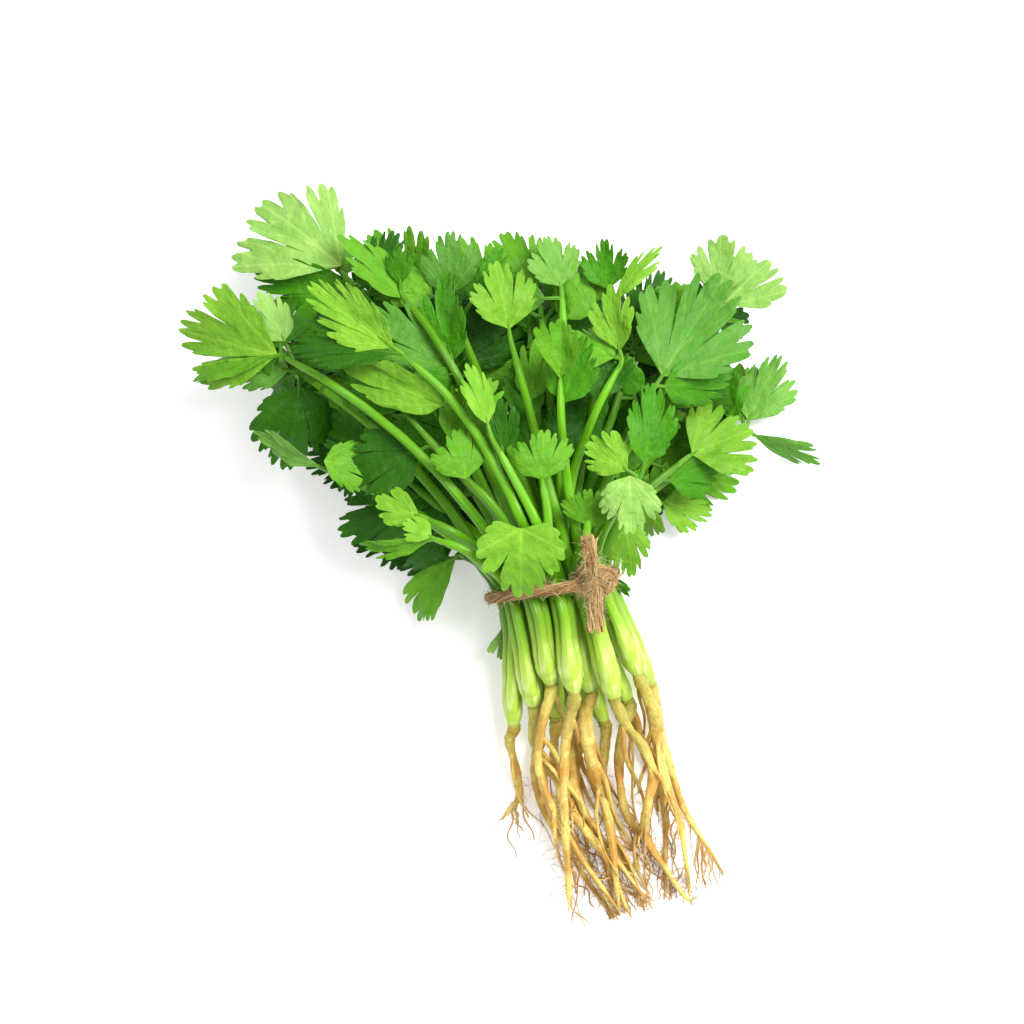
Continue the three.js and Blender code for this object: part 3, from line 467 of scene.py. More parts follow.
def lay_root(pile, start, start_radius, course):
    """Lays a root or rootlet on the pile from a start, by the rest of its course (x, y, radius)."""
    flat = np.array([start[:2]] + [point[:2] for point in course], float)
    radii = np.array([start_radius] + [point[2] for point in course], float)
    settle = smooth(ROOT_SETTLE * np.arange(len(flat)) / len(course))
    own = mix(start[2], radii, settle)
    corners = heights_over(pile, flat, radii, start[2], own, ROOT_PILE_GAP)
    lift_bar(pile, corners, radii)
    return corners, radii


def lay_roots(pile, plant, side, draw):
    """Lays a root and a rootlet that branches off it to one side. Returns each one's corners and radii."""
    above, end = crown_points(plant)[-2:]
    away = (end - above) / np.linalg.norm(end - above)
    top = end + away * ROOT_GAP
    second = end + away * (ROOT_GAP + ROOT_TOP_LENGTH)
    corners, radii = lay_root(pile, second, ROOT_TOP_RADIUS, plant[2])
    start = place_on(corners, draw(*ROOTLET_PLACE) * len(plant[2]))
    length = draw(*ROOTLET_LENGTH)
    turn = side * math.radians(draw(*ROOTLET_TURN))
    course = []
    for share in ROOTLET_SHARES:
        heading = turn * (ROOTLET_CURL - share)
        reach = share * length
        course.append((start[0] + reach * math.sin(heading), start[1] - reach * math.cos(heading),
                       ROOTLET_RADIUS))
    rootlet = lay_root(pile, start, ROOTLET_RADIUS, course)
    return (np.vstack([top, corners]), np.insert(radii, 0, ROOT_TOP_RADIUS)), rootlet


def twine_loop(steps):
    """The middle line of the twine's loop: an ellipse once round from the knot, resting on the surface."""
    first = math.acos(KNOT_X / TIE_HALF_WIDTH) + LOOP_OPENING
    turn = first + 2 * (math.pi - LOOP_OPENING) * np.linspace(0, 1, steps + 1)
    middle = TIE_HALF_HEIGHT + TWINE_RADIUS
    return np.column_stack([TIE_HALF_WIDTH * np.cos(turn), 0 * turn, middle + TIE_HALF_HEIGHT * np.sin(turn)])


def lay_bunch():
    """Lays the whole bunch in the order of the solids: twine, stems with leaves, the twine's upper cut end,
    then roots and crowns. Returns the stems, the roots, that cut end's corners and the pile."""
    draw = Draws(4711)
    pile = Pile()
    pile.lift(twine_loop(LOOP_STEPS) + UP * TWINE_RADIUS, TWINE_REACH)
    stems = [lay_stem(pile, stem, i / (len(STEMS) - 1), draw) for i, stem in enumerate(STEMS)]
    start = twine_loop(LOOP_STEPS)[0]
    flat = np.array([(start[0] + x, y) for x, y in UPPER_END], float)
    radii = np.array(UPPER_END_RADII)
    upper_end = heights_over(pile, flat, radii, start[2] + UPPER_END_LIFT, np.zeros(len(flat)), GAP)
    roots = {}
    for i in sorted(range(len(PLANTS)), key=lambda i: PLANTS[i][1][2]):
        roots[i] = lay_roots(pile, PLANTS[i], 1 if i % 2 else -1, draw)
        pile.lift(crown_points(PLANTS[i]) + UP * CROWN_RADII[2], CROWN_REACH)
    return stems, roots, upper_end, pile


# ---- Surfaces -----------------------------------------------------------------------------------------

LOBES = 3
SHARP_FROM = math.radians(55)
TONES = {"p": "pale", "b": "bright", "f": "fresh", "m": "middle", "d": "deep", "u": "bluish", "l": "light"}
PLANT_SEED = 311
FILLER_SEED = 77

# Leaves that differ from the usual, by plant, stem and which leaf: a row of their own, the spread of their
# lobes in degrees, the depths of their left and right slits, how much longer their right side is than their
# left, how strongly their sides bend, whether they have small teeth, how light they are (partly their own
# tone, partly painted light and shade that makes up for how each leaf is lit), and how far they move (x, y,
# z).
STYLES = {
    (14, 0, 0): {"row": (1, -32, 40, 49, -5, -8, 6, 0.08, -4), "spread": 52, "slits": (0.34, 0.5),
                 "lean": -0.2, "cup": 0.4, "move": (0.5, 1.5, 2.6)},
    (14, 0, 1): {"row": (0.93, -66, 24, 22, -12, -12, 6, 0.1, 1), "spread": 66, "move": (0, 0, -4)},
    (14, 0, 2): {"move": (3, -3, 0)},
    (14, 1, 1): {"move": (4, 0, 0)},
    (3, 0, 0): {"row": (1, -160, 26, 30.5, -11, 4, 6, 0.12, -5.5), "spread": 104, "slits": (0.12, 0.42),
                "cup": 0.15, "move": (-1.4, 0.4, 4)},
    (3, 1, 0): {"row": (1, -57, 39, 38, -8, 12, 8, 0.12, 0), "spread": 58, "slits": (0.78, 0.25),
                "shade": 0.95, "cup": 0.6},
    (3, 1, 2): {"row": (1, -8, 20, 15, 5, -15, 10, 0.1, 4), "move": (3, 0, -4)},
    (7, 1, 0): {"spread": 68, "slits": (0.42, 0.3), "cup": 0.5},
    (13, 1, 0): {"spread": 58, "slits": (0.5, 0.55), "small_teeth": False, "cup": 0.5, "shade": 0.88},
    (13, 1, 1): {"spread": 56, "slits": (0.5, 0.45), "small_teeth": False, "cup": 0.5, "shade": 0.88},
    (13, 0, 1): {"row": (0.6, 183, 20, 18, -8, 12, 10, 0.1, 1), "move": (-1, 0, 14), "shade": 0.85},
    (7, 0, 2): {"row": (0.95, -161, 21, 22, -8, -6, 8, 0.12, -2), "move": (-3, 0.5, 7), "cup": 0.4},
    (7, 0, 1): {"row": (0.95, -36, 18, 16, 0, 16, 10, 0.1, 4)},
    (7, 2, 0): {"row": (1, 76, 26, 34, -13, 10, 8, 0.12, 1), "cup": 0.6, "shade": 0.86},
    (6, 2, 0): {"row": (1, 20, 21, 18, 21, 12, 34, 0, -2), "spread": 36, "slits": (0.12, 0.1),
                "small_teeth": False, "cup": 0.3, "move": (0, 0, 3.4)},
    (6, 2, 1): {"move": (0, 0, 0.5)},
    (6, 0, 0): {"row": (1, 20, 14, 21, 14, 6, 30, 0, 0), "spread": 62, "slits": (0.12, 0.1), "cup": 0.4,
                "move": (-0.5, -4.5, 0), "shade": 0.85},
    (6, 1, 0): {"row": (1, 9, 24, 25, 10, -10, 24, 0.1), "shade": 0.92},
    (4, 1, 0): {"shade": 0.92, "cup": 0.6},
    (4, 1, 2): {"shade": 0.85, "cup": 0.6},
    (4, 1, 3): {"move": (0, 0, -5)},
    (4, 0, 0): {"row": (1, 14, 17, 23, 12, 0, 14, 0.1, -1.5), "spread": 74},
    (4, 2, 0): {"row": (1, 1, 22, 13, 6, -29, 18, 0.1, 4), "move": (0, 0, 2)},
    (3, 2, 0): {"row": (1, 2, 17, 21, 12, -6, 12, 0.1, -1)},
    (9, 0, 0): {"row": (1, 9, 18, 18, 10, 10, 15, 0.1)},
    (5, 2, 1): {"row": (0.84, 17, 26, 9, 6, 37, 20, 0.05)},
    (9, 0, 1): {"row": (0.97, 56, 25, 8, 5, 38, 20, 0.05, 3)},
    (5, 2, 0): {"row": (1, 3, 18, 20, 10, -15, 15, 0.1, 1)},
    (5, 1, 0): {"row": (1, 15, 22, 21, 10, 12, 12, 0.1)},
    (5, 0, 0): {"row": (1, 6, 23, 17, 8, 28, 18, 0.12)},
    (11, 0, 0): {"row": (1, -25, 33, 15, 0, -24, 15, 0.1, -3)},
    (11, 0, 3): {"row": (0.7, 5, 31, 19, 8, 24, 14, 0.1, 3), "move": (0, 0, -3)},
    (11, 2, 3): {"move": (0, 0, -22)},
    (2, 1, 0): {"row": (1, -49, 27, 10, -6, 40, 15, 0.05)},
    (2, 1, 1): {"row": (0.9, 112, 22, 18, -6, 20, 10, 0.1, -9), "move": (1.6, 5.3, 4)},
    (2, 2, 0): {"row": (1, -56, 17, 13, -10, 17, 14, 0.1, 0.5)},
    (2, 0, 0): {"row": (1, -40, 11, 11, 0, -20, 10, 0.1, 1)},
    (1, 1, 0): {"row": (1, -122, 29, 17, -12, -22, 15, 0.15, 1), "move": (0, 0, 9), "shade": 1.25,
                "small_teeth": False, "slits": (0.15, 0.2), "spread": 40, "cup": 0.5},
}
LOW_LEAF_SIZE = 0.55
UNDER_STEM = np.array([0, 0, -2.5])  # how far a leaf moves that its own stem passes over
PASSES_OVER = 40  # degrees between the two, at most
LOWEST = 0.5  # of a blade's middle
ROUND = np.array([(0, 0), (9, 0), (-9, 0), (0, 9), (0, -9), (13, 13), (-13, 13), (13, -13), (-13, -13)])

ROOT_TANGLE = np.array([-1, -104])  # where the thick side roots run to
STRAND_SWAY = 0.13
CORE_SHARE = 0.62  # of the bundle's radius, that its core fills
LOOP_LEFT_NARROWER = 0.065  # share that the loop's left end is drawn in
LOOP_NARROWER = 0.36  # share that the loop's right end is drawn in
LOOP_SLANT = 4.2  # how far its left end lies up the bunch

# The knot's wraps, (across, along, up) from the start of the loop; along is the way that the cut ends run.
KNOT_ALONG = np.array([0.292, 0.956])
KNOT_ACROSS = np.array([0.956, -0.292])
KNOT_WRAPS = (
    ((-6.5, -2.6, -0.6), (-3.5, 1.6, 2.8), (0.6, 3.8, 4.2), (4.4, 2.8, 3.2), (6.0, 0, 1.0), (4, -3.2, 2.2),
     (0.5, -4.8, 3.4)),
    ((-1, -5.8, 2.4), (-4.4, -2.4, 2.4), (-5.4, 1.2, 1.2), (-3.2, 4.2, 2.0), (0.6, 5.0, 3.2)),
    ((-5.5, -1.8, 1.6), (-2.5, -1.4, 4.2), (1, 0.4, 5.0), (4.6, 2.4, 2.6)),
    ((-3.4, 3.4, 2.2), (0, 1.2, 5.4), (2.6, -2.2, 4.4), (2.4, -5.0, 2.6)),
)

FILLER_TRIES = 3  # times that an inner leaf is made shorter while its tip lies outside the heap
FILLER_SHORTER = 0.78
EXTRA_SPOTS = np.array([(53, 70), (52, 33), (50, 64), (45, 70), (40, 22), (-64, 118), (-66, 96), (-74, 97),
                        (-72, 106), (38, 15)])  # of inner leaves that close gaps
LOW_RIGHT = (25, 40)  # the heap's low right part, where the inner leaves get bright tones, painted light: x from, y below
PAINTED_SHADE_RIGHT = 15  # where the painted shade on the inner leaves of the heap's lower left part ends: x on its right, y at its upper end, and the fade
PAINTED_SHADE_UPPER = 62
PAINTED_SHADE_FADE = 35
PAINTED_SHADE_DEEPEST = 0.22

# The outline of the dense part of the heap, (x, y), once round.
HEAP_EDGE = (
    (-74, 138), (-47, 146), (-31, 137), (-24, 123), (0, 124), (15, 114), (36, 110), (51, 101), (64, 92),
    (81, 92), (94, 80), (86, 60), (82, 46), (70, 32), (56, 20), (38, 12), (23, 10), (6, 18), (-15, 24),
    (-30, 28), (-42, 33), (-54, 40), (-57, 57), (-69, 71), (-78, 84), (-78, 98), (-80, 110), (-65, 122),
)
ROOT_SEED = 907
ROOT_SIDES = 14  # flat sides round a tap root
SIDE_ROOT_SIDES = 8
ROOT_STEPS = 8  # smooth stretches between two corners of a root
ROOT_TAIL_RADIUS = 0.25  # where a tap root runs out
CORE_SIDES = 18  # flat sides round the body of a crown
CORE_TAIL = 1.8  # how far the body of a crown goes on past its last corner
CORE_TAIL_RADIUS = 1.95
HEAP_FILLS = 0.72  # the heap's share of the rectangle round it
SPOT_STRAY = 0.45  # how far an inner leaf may stray from its place in the grid, in steps of the grid
STEM_PLACES = 24  # places along a stem that inner leaves may grow from
FILLER_LENGTHS = (26, 36)
# random darkening of the inner leaves' colours: partly tone that differs, partly painted shade inside the
# heap
FILLER_SHADES = (0.6, 1.0)
TWINE_SEED = 53

# The bundles of the twine: radius, strands in each ring from the middle out, turns along the length, share
# of the loose fibres, and how much shorter the shortest strand ends.
LOOP_PLACES = 100
LOOP_RADIUS = 2.0
LOOP_RINGS = (1, 0, 12, 24)
LOOP_TURNS = 2.5
LOOP_FUZZ = 1.0
WRAP_RADIUS = 1.7
WRAP_RINGS = (1, 0, 8, 16)
WRAP_TURNS = 0.7
WRAP_FUZZ = 0.3
WRAP_STEPS = 7
END_SHARE = 0.84  # of the solid's radii
END_RINGS = (1, 0, 14, 26)
END_TURNS = 0.2
END_FUZZ = 0.6
END_RAGGED = 0.1
END_STEPS = 8
FIBRE_PLACES = 6  # along a loose fibre
FIBRE_LENGTHS = (2, 6.5)


def bend_through(points, steps):
    """A smooth course through points: on each stretch the Catmull-Rom cubic, which leaves every point
    along the line between its neighbours."""
    after = np.vstack([points[2:], 2 * points[-1] - points[-2]])
    before = np.vstack([2 * points[0] - points[1], points[:-2]])
    start, end = points[:-1], points[1:]
    t = (np.arange(steps) / steps)[None, :, None]
    before, start, end, after = (p[:, None] for p in (before, start, end, after))
    course = 2 * start + (end - before) * t
    course = course + (2 * before - 5 * start + 4 * end - after) * t ** 2
    course = (course + (3 * start - 3 * end + after - before) * t ** 3) / 2
    return np.vstack([course.reshape(-1, points.shape[1]), points[-1]])


def unit(vectors):
    return vectors / np.maximum(np.linalg.norm(vectors, axis=-1, keepdims=True), 1e-12)


class Shape:
    """The points, faces and painted values of one piece, gathered part by part."""

    def __init__(self):
        self.points, self.faces, self.uvs, self.slots, self.count = [], [], [], [], 0
        self.paint = {"tone": [], "vein": [], "under": [], "pale": []}

    def add(self, points, faces, uvs, slot, tone, vein=0.0, under=0.0, pale=0.0):
        """Adds points (n, 3), faces (m, 4) whose last two corners may be the same, and their UVs (m, 4, 2).
        tone is a colour, or one a point; vein, under and pale are shares, or one a point."""
        n = len(points)
        self.points.append(points)
        self.faces.append(faces + self.count)
        self.uvs.append(uvs)
        self.slots.append(np.full(len(faces), slot))
        self.paint["tone"].append(np.broadcast_to(tone, (n, 3)))
        for name, value in (("vein", vein), ("under", under), ("pale", pale)):
            self.paint[name].append(np.broadcast_to(value, n))
        self.count += n

    def make(self, name, materials):
        """The mesh object of the gathered parts, in metres in the part's frame, at the origin."""
        points = (np.concatenate(self.points) - BOX_MIDDLE) * MM
        faces = np.concatenate(self.faces)
        uvs = np.concatenate(self.uvs)
        sizes = np.where(faces[:, 2] == faces[:, 3], 3, 4)
        kept = np.arange(4)[None] < sizes[:, None]
        mesh = bpy.data.meshes.new(name)
        mesh.vertices.add(len(points))
        mesh.vertices.foreach_set("co", points.astype(np.float32).ravel())
        mesh.loops.add(int(sizes.sum()))
        mesh.loops.foreach_set("vertex_index", faces[kept].astype(np.int32))
        mesh.polygons.add(len(faces))
        mesh.polygons.foreach_set("loop_start", (np.cumsum(sizes) - sizes).astype(np.int32))
        mesh.polygons.foreach_set("material_index", np.concatenate(self.slots).astype(np.int32))
        mesh.update(calc_edges=True)
        mesh.shade_smooth()
        mesh.set_sharp_from_angle(angle=SHARP_FROM)
        mesh.uv_layers.new(name="surface").data.foreach_set("uv", uvs[kept].astype(np.float32).ravel())
        tone = np.concatenate(self.paint["tone"])
        tone = np.column_stack([tone, np.ones(len(tone))]).astype(np.float32)
        mesh.attributes.new("tone", "FLOAT_COLOR", "POINT").data.foreach_set("color", tone.ravel())
        for value in ("vein", "under", "pale"):
            layer = mesh.attributes.new(value, "FLOAT", "POINT")
            layer.data.foreach_set("value", np.concatenate(self.paint[value]).astype(np.float32))
        for material in materials:
            mesh.materials.append(material)
        made = bpy.data.objects.new(name, mesh)
        bpy.context.scene.collection.objects.link(made)
        return made


def grid_faces(rows, columns, closed):
    """Quads between neighbouring places of a grid of points, by row and column; closed joins the last
    column to the first."""
    i, j = np.meshgrid(np.arange(rows - 1), np.arange(columns - (not closed)), indexing="ij")
    i, j = i.ravel(), j.ravel()
    ahead = (j + 1) % columns
    this, following = i * columns, (i + 1) * columns
    return np.stack([this + j, following + j, following + ahead, this + ahead], 1)


def add_tubes(shape, courses, radii, sides, slot, tone, **paint):
    """Adds round bars along courses (n, k, 3) of like length. A ring's points are course + radius times
    (cos a side + sin a up), side and up square to the course; the ends close on their middles.
    radii is (n, k), or (n, k, sides) for a section that isn't round. UV is turn and distance in mm."""
    n, k = courses.shape[:2]
    radii = radii[..., None] if radii.ndim == 2 else radii
    tangent = unit(np.gradient(courses, axis=1))
    mean = np.abs(tangent.mean(axis=1))
    across = np.eye(3)[mean.argmin(axis=1)][:, None]
    side = unit(np.cross(tangent, across))[:, :, None]
    up = np.cross(side[:, :, 0], tangent)[:, :, None]
    angle = 2 * np.pi * np.arange(sides) / sides
    out = np.cos(angle)[:, None] * side + np.sin(angle)[:, None] * up
    rings = courses[:, :, None] + radii[..., None] * out
    ends = courses[:, [0, -1]]
    points = np.concatenate([rings.reshape(n, -1, 3), ends], axis=1)
    walls = grid_faces(k, sides, True)
    j = np.arange(sides)
    ahead = (j + 1) % sides
    first, last = k * sides, k * sides + 1
    start = np.stack([j, ahead, np.full(sides, first), np.full(sides, first)], 1)
    base = (k - 1) * sides
    end = np.stack([base + ahead, base + j, np.full(sides, last), np.full(sides, last)], 1)
    far = np.cumsum(np.linalg.norm(np.diff(courses, axis=1, prepend=courses[:, :1]), axis=2), axis=1)
    turn = np.tile(np.stack([j, j, j + 1, j + 1], 1) / sides, (k - 1, 1))
    row = np.repeat(np.arange(k - 1), sides)
    wall_uv = np.stack([np.broadcast_to(turn, (n, *turn.shape)),
                        np.stack([far[:, row], far[:, row + 1], far[:, row + 1], far[:, row]], 2)], 3)
    cap_turn = np.stack([j, j + 1, j + 0.5, j + 0.5], 1) / sides
    caps = [np.stack([np.broadcast_to(cap_turn, (n, sides, 4)),
                      np.broadcast_to(far[:, at, None, None], (n, sides, 4))], 3) for at in (0, -1)]
    faces = np.concatenate([walls, start, end])
    uvs = np.concatenate([wall_uv, *caps], axis=1)
    size = points.shape[1]
    faces = (faces[None] + size * np.arange(n)[:, None, None]).reshape(-1, 4)
    spread = {}
    for name, value in {"tone": tone, **paint}.items():
        value = np.asarray(value, float)
        if value.shape[:2] == (n, k):
            along = np.repeat(value, sides, axis=1)
            value = np.concatenate([along, value[:, [0, -1]]], axis=1).reshape(-1, *value.shape[2:])
        spread[name] = value
    shape.add(points.reshape(-1, 3), faces, uvs.reshape(-1, 4, 2), slot, **spread)


def arcs(places, count, power):
    """0 in the middle of each of the equal stretches that -1 to 1 is cut in, rising to 1 at their ends."""
    stretch = (places + 1) / 2 * count
    return np.abs(2 * (stretch - np.floor(stretch)) - 1) ** power


def lobe_columns(count):
    """Places across a leaf, from side to side: which lobe (-1, 0, 1), how far across it evenly, and how
    far across it with columns closer together beside the notches."""
    even = np.linspace(-1, 1, count)
    close = mix(even, np.sin(np.pi / 2 * even), 0.45)
    lobe = np.repeat([-1, 0, 1], [count - 1, count, count - 1])
    order = np.concatenate([np.arange(count - 1), np.arange(count), np.arange(1, count)])
    return lobe[None], even[order][None], close[order][None]


def add_blade(shape, leaf, look, slot, rng):
    """Adds a leaf's blade: a closed thin shell over a fan.

    The fan's parameters are u, from one side (-1) to the other (1), and v, from the stalk (0) to the rim
    (1). The heading off the rib is the spread times u. The reach is an envelope, longest in the middle
    and shortest at the two sides, less the notches: deep narrow ones between the three lobes, short
    ones between their parts, and small ones between the teeth. It is scaled to the leaf's length
    and width. The height over its plane is a fold along the rib, the tip's droop, a twist, a cup, a slow
    wave, a bend of each lobe's tip, and a small ruffle at the rim.
    """
    row = leaf["row"]
    length, width, fold, droop, stalk = leaf_shape(row)
    narrow = width < NARROW_BELOW
    fine = leaf.get("small_teeth", width >= look.fine_above / MM and not leaf.get("inner"))
    lobe, even, close = lobe_columns((32 if fine else 14 if leaf.get("inner") else 22) + 1)
    rows = 10 if fine else 6 if leaf.get("inner") else 8
    u = (2 * lobe + close) / LOBES
    v = (1 - (1 - np.linspace(0, 1, rows)) ** 1.3)[:, None]
    spread = math.radians(leaf.get("spread", rng.uniform(62, 76) - (14 if narrow else 0)))
    tight = mix(0.9, 1, smooth((v - 0.35) / 0.5))
    across = (2 * lobe + close * (tight + (1 - tight) * np.abs(close) ** 14)) / LOBES
    skew = rng.uniform(-0.1, 0.1)
    sway = rng.uniform(-0.03, 0.03) * np.sin(3 * across + rng.uniform(0, 6))
    heading = spread * (across + skew * (1 - across ** 2) + sway * v)
    outer = smooth((np.abs(u) - 0.7) / 0.3)
    envelope = 1 - 0.3 * u ** 2 - rng.uniform(0.14, 0.24) * outer
    envelope = envelope * (1 + rng.uniform(-0.06, 0.06) * np.sin(2.2 * u + rng.uniform(0, 6)))
    envelope = envelope * (1 + leaf.get("lean", 0) * u)
    slit = leaf.get("slits", look.lobe_depth * rng.uniform(0.6, 1.4, 2))
    depth = np.where(u < 0, slit[0], slit[1]) * (np.abs(u) < 2 / LOBES)
    slits = depth * np.abs(close) ** rng.uniform(5, 14)
    uneven = even + 0.09 * (1 - even ** 2) * np.sin(4 * u + rng.uniform(0, 6))
    notches = look.lobe_round * even ** 2
    notches = notches + look.part_depth * rng.uniform(0.7, 1.3) * arcs(uneven, 3, 3.4)
    if fine:
        notches = notches + look.tooth_depth * rng.uniform(0.8, 1.2) * arcs(uneven, 6, 3)
    reach = envelope * (1 - notches) * (1 - slits)
    side = reach * np.sin(heading) * v
    share = reach * np.cos(heading) * v
    side = width / 2 * side / np.abs(side).max() + (1 - v) * 0.45 * u
    share = 0.04 + 0.95 * share / share.max()
    y = share * length
    rise = np.hypot(side, 1.5) - 1.5
    height = rise * math.tan(math.radians(fold)) - droop * length * share ** 2
    height = height + rng.uniform(-1, 1) * look.twist * side * share
    height = height + rng.uniform(-1, 0.35) * leaf.get("cup", 1) * look.cup * side ** 2 / width
    turn = rng.uniform(0, np.pi)
    wave = (side * np.cos(turn) + y * np.sin(turn)) / (0.85 * length)
    swell = look.wave * length * rng.uniform(0.4, 1) * share
    height = height + swell * np.sin(2 * np.pi * wave + rng.uniform(0, 6))
    bend = rng.uniform(-1, 0.3, 3)[lobe + 1] * look.lobe_bend * length
    height = height + bend * smooth((reach * v - 0.45) / 0.55) * (1 - even ** 4)
    ripple = np.sin(2 * np.pi * (side * np.cos(turn + 1) + y * np.sin(turn + 1)) / 7 + rng.uniform(0, 6))
    height = height + look.ruffle / MM * v ** 3 * ripple
    along, right, up = leaf_axes(row[1], row[4], row[5])
    local = np.stack([side, stalk + y, height], 2)
    middle = leaf["joint"] + local @ np.stack([right, along, up])
    middle[..., 2] = np.maximum(middle[..., 2], LOWEST)
    normal = unit(np.cross(np.gradient(middle, axis=1), np.gradient(middle, axis=0)))
    inner = np.minimum(1, 10 * (1 - v)) ** 0.5 * np.minimum(1, 14 * (1 - np.abs(u))) ** 0.5
    half = look.thickness / MM / 2 * mix(0.35, 1, inner)[..., None]
    count = middle.shape[0] * middle.shape[1]
    columns = middle.shape[1]
    top, bottom = middle + normal * half, middle - normal * half
    faces = grid_faces(rows, columns, False)
    rim = np.concatenate([
        np.arange(columns) + (rows - 1) * columns,
        (np.arange(rows - 1)[::-1] + 1) * columns - 1,
        np.arange(columns - 1)[::-1],
        np.arange(1, rows - 1) * columns,
    ])
    ahead = np.roll(rim, -1)
    wall = np.stack([rim, ahead, ahead + count, rim + count], 1)
    uv = np.stack(np.broadcast_arrays(lobe + 1.5 + even / 2, v), 2).reshape(-1, 2)
    uv = np.concatenate([uv, uv])
    faces = np.concatenate([faces[:, ::-1], faces + count, wall])
    shape.add(
        np.concatenate([top.reshape(-1, 3), bottom.reshape(-1, 3)]), faces, uv[faces], slot,
        tone=leaf["colour"], under=np.repeat([0.0, 1.0], count),
    )


def stalk_course(stem):
    """A stalk's corners from its crown's lower end, through the tie, to its last leaf, with a column of
    radii and one of paleness: in the crown it swells to a sheath that closes on the others."""
    tie, crown, _ = PLANTS[stem["plant"] - 1]
    top = np.array([tie[0], -TIE_REACH, tie[1]])
    end = np.array(crown[:3])
    size = crown[3]
    offset = slot_offset(stem["slot"])
    shares = np.array([1.0, 0.94, 0.84, 0.66, 0.4, 0.0])[:, None]
    spreads = np.array([0.3, 0.5, 0.68, 0.8, 0.95, 1.0])[:, None]
    radii = np.array([1.3 * size, 1.9 * size, 2.7 * size, 2.75 * size, 2.1, PETIOLE_RADIUS])
    pale = np.array([0.6, 0.95, 1.0, 0.85, 0.65, 0.2])
    low = top + (end - top) * shares + offset * spreads
    upper = np.column_stack([stem["corners"], stem["radii"], np.zeros(len(stem["corners"]))])
    return np.vstack([np.column_stack([low, radii, pale]), upper])


def add_stalk(shape, stem, look, slot, rng):
    """Adds a stalk as one bar on a smooth course, its section a little uneven all along."""
    course = bend_through(stalk_course(stem), 6)
    course[:, 2] = np.minimum(course[:, 2], look.highest / MM)
    radii = np.maximum(course[:, 3], 0.8)
    radii[-3:] = 1.05, 0.8, 0.3
    angle = 2 * np.pi * np.arange(look.sides) / look.sides
    far = np.arange(len(course))[:, None]
    sway = 1 + 0.035 * np.sin(0.9 * far + rng.uniform(0, 6) + angle) + 0.03 * np.cos(3 * angle + 0.25 * far)
    tone = np.array(look.colour) * rng.uniform(0.72, 1.3)
    torn = np.clip(1 - np.arange(len(course)) / 5, 0, 1)
    add_tubes(shape, course[None, :, :3], (radii[:, None] * sway)[None], look.sides, slot, tone=tone,
              pale=np.clip(course[None, :, 4], 0, 1), under=torn[None])


def add_leaf(shape, leaf, stem_course, leaf_look, stalk_look, rng):
    """Adds a leaf: its small stalk from the stem under the blade's base, and its blade."""
    row = leaf["row"]
    length, _, _, _, reach = leaf_shape(row)
    along, _, up = leaf_axes(row[1], row[4], row[5])
    joint = leaf["joint"]
    back = joint - along * 2 if stem_course is None else stem_course
    knots = np.array([back, joint, joint + along * (reach + 0.05 * length),
                      joint + along * (reach + 0.2 * length) - up * 0.3])
    radii = np.array([1.05, 0.85, 0.6, 0.25])
    course = bend_through(np.column_stack([knots, radii]), 4)
    course[:, 2] = np.maximum(course[:, 2], course[:, 3])
    tone = mix(np.array(stalk_look.colour), np.array(leaf["colour"]), 0.4)
    if reach > 0:
        add_tubes(shape, course[None, :, :3], course[None, :, 3], 8, 1, tone=tone)
    add_blade(shape, leaf, leaf_look, 0, rng)


def add_crown(shape, plant, look, slot, rng):
    """Adds the core that a plant's sheaths close round."""
    corners = crown_points(plant)
    size = plant[1][3]
    radii = np.array([1.6, 3.3, 3.6, 2.75]) * size
    away = unit(corners[-1] - corners[-2])
    corners = np.vstack([corners, corners[-1] + away * CORE_TAIL])
    radii = np.append(radii, CORE_TAIL_RADIUS * size)
    course = bend_through(np.column_stack([corners, radii]), 6)
    angle = 2 * np.pi * np.arange(CORE_SIDES) / CORE_SIDES
    far = np.arange(len(course))[:, None]
    folds = 1 + 0.04 * np.cos(3 * angle + rng.uniform(0, 6) + 0.1 * far)
    folds = folds + 0.06 * np.cos(angle + rng.uniform(0, 6)) * smooth(far / len(course))
    torn = smooth((np.arange(len(course)) - len(course) + 7) / 6)
    add_tubes(shape, course[None, :, :3], (course[:, 3:4] * folds)[None], CORE_SIDES, slot,
              tone=np.array(look.colour), pale=0.9, under=torn[None])


def root_course(corners, radii, steps):
    """A root's smooth course with its radii, nowhere below the surface that it lies on."""
    course = bend_through(np.column_stack([corners, radii]), steps)
    course[:, 3] = np.maximum(course[:, 3], 0.3)
    course[:, 2] = np.maximum(course[:, 2], course[:, 3])
    return course


def trails(starts, headings, lengths, turns, swing, count, radius, settle, rng):
    """Courses of fine roots: each sets out on its heading (0 points down the bunch), turns steadily,
    sways a little and sinks to lie on the surface."""
    t = np.linspace(0, 1, count)[None]
    size, speed, phase = (rng.uniform(*span, (len(starts), 1)) for span in ((0.15, 0.9), (4, 13), (0, 6)))
    sway = size * swing * np.sin(speed * t + phase)
    heading = headings[:, None] + turns[:, None] * t + sway
    step = (lengths / (count - 1))[:, None]
    moved = np.stack([np.sin(heading) * step, -np.cos(heading) * step], 2)
    moved[:, 0] = 0
    flat = starts[:, None, :2] + np.cumsum(moved, axis=1)
    z = mix(starts[:, 2:3], radius, smooth(settle * t)) + 0 * t
    rise = 0.5 * np.abs(np.sin(rng.uniform(3, 9, (len(starts), 1)) * t)) * rng.uniform(0, 1, (len(starts), 1))
    return np.dstack([flat, np.maximum(z + rise, radius)])


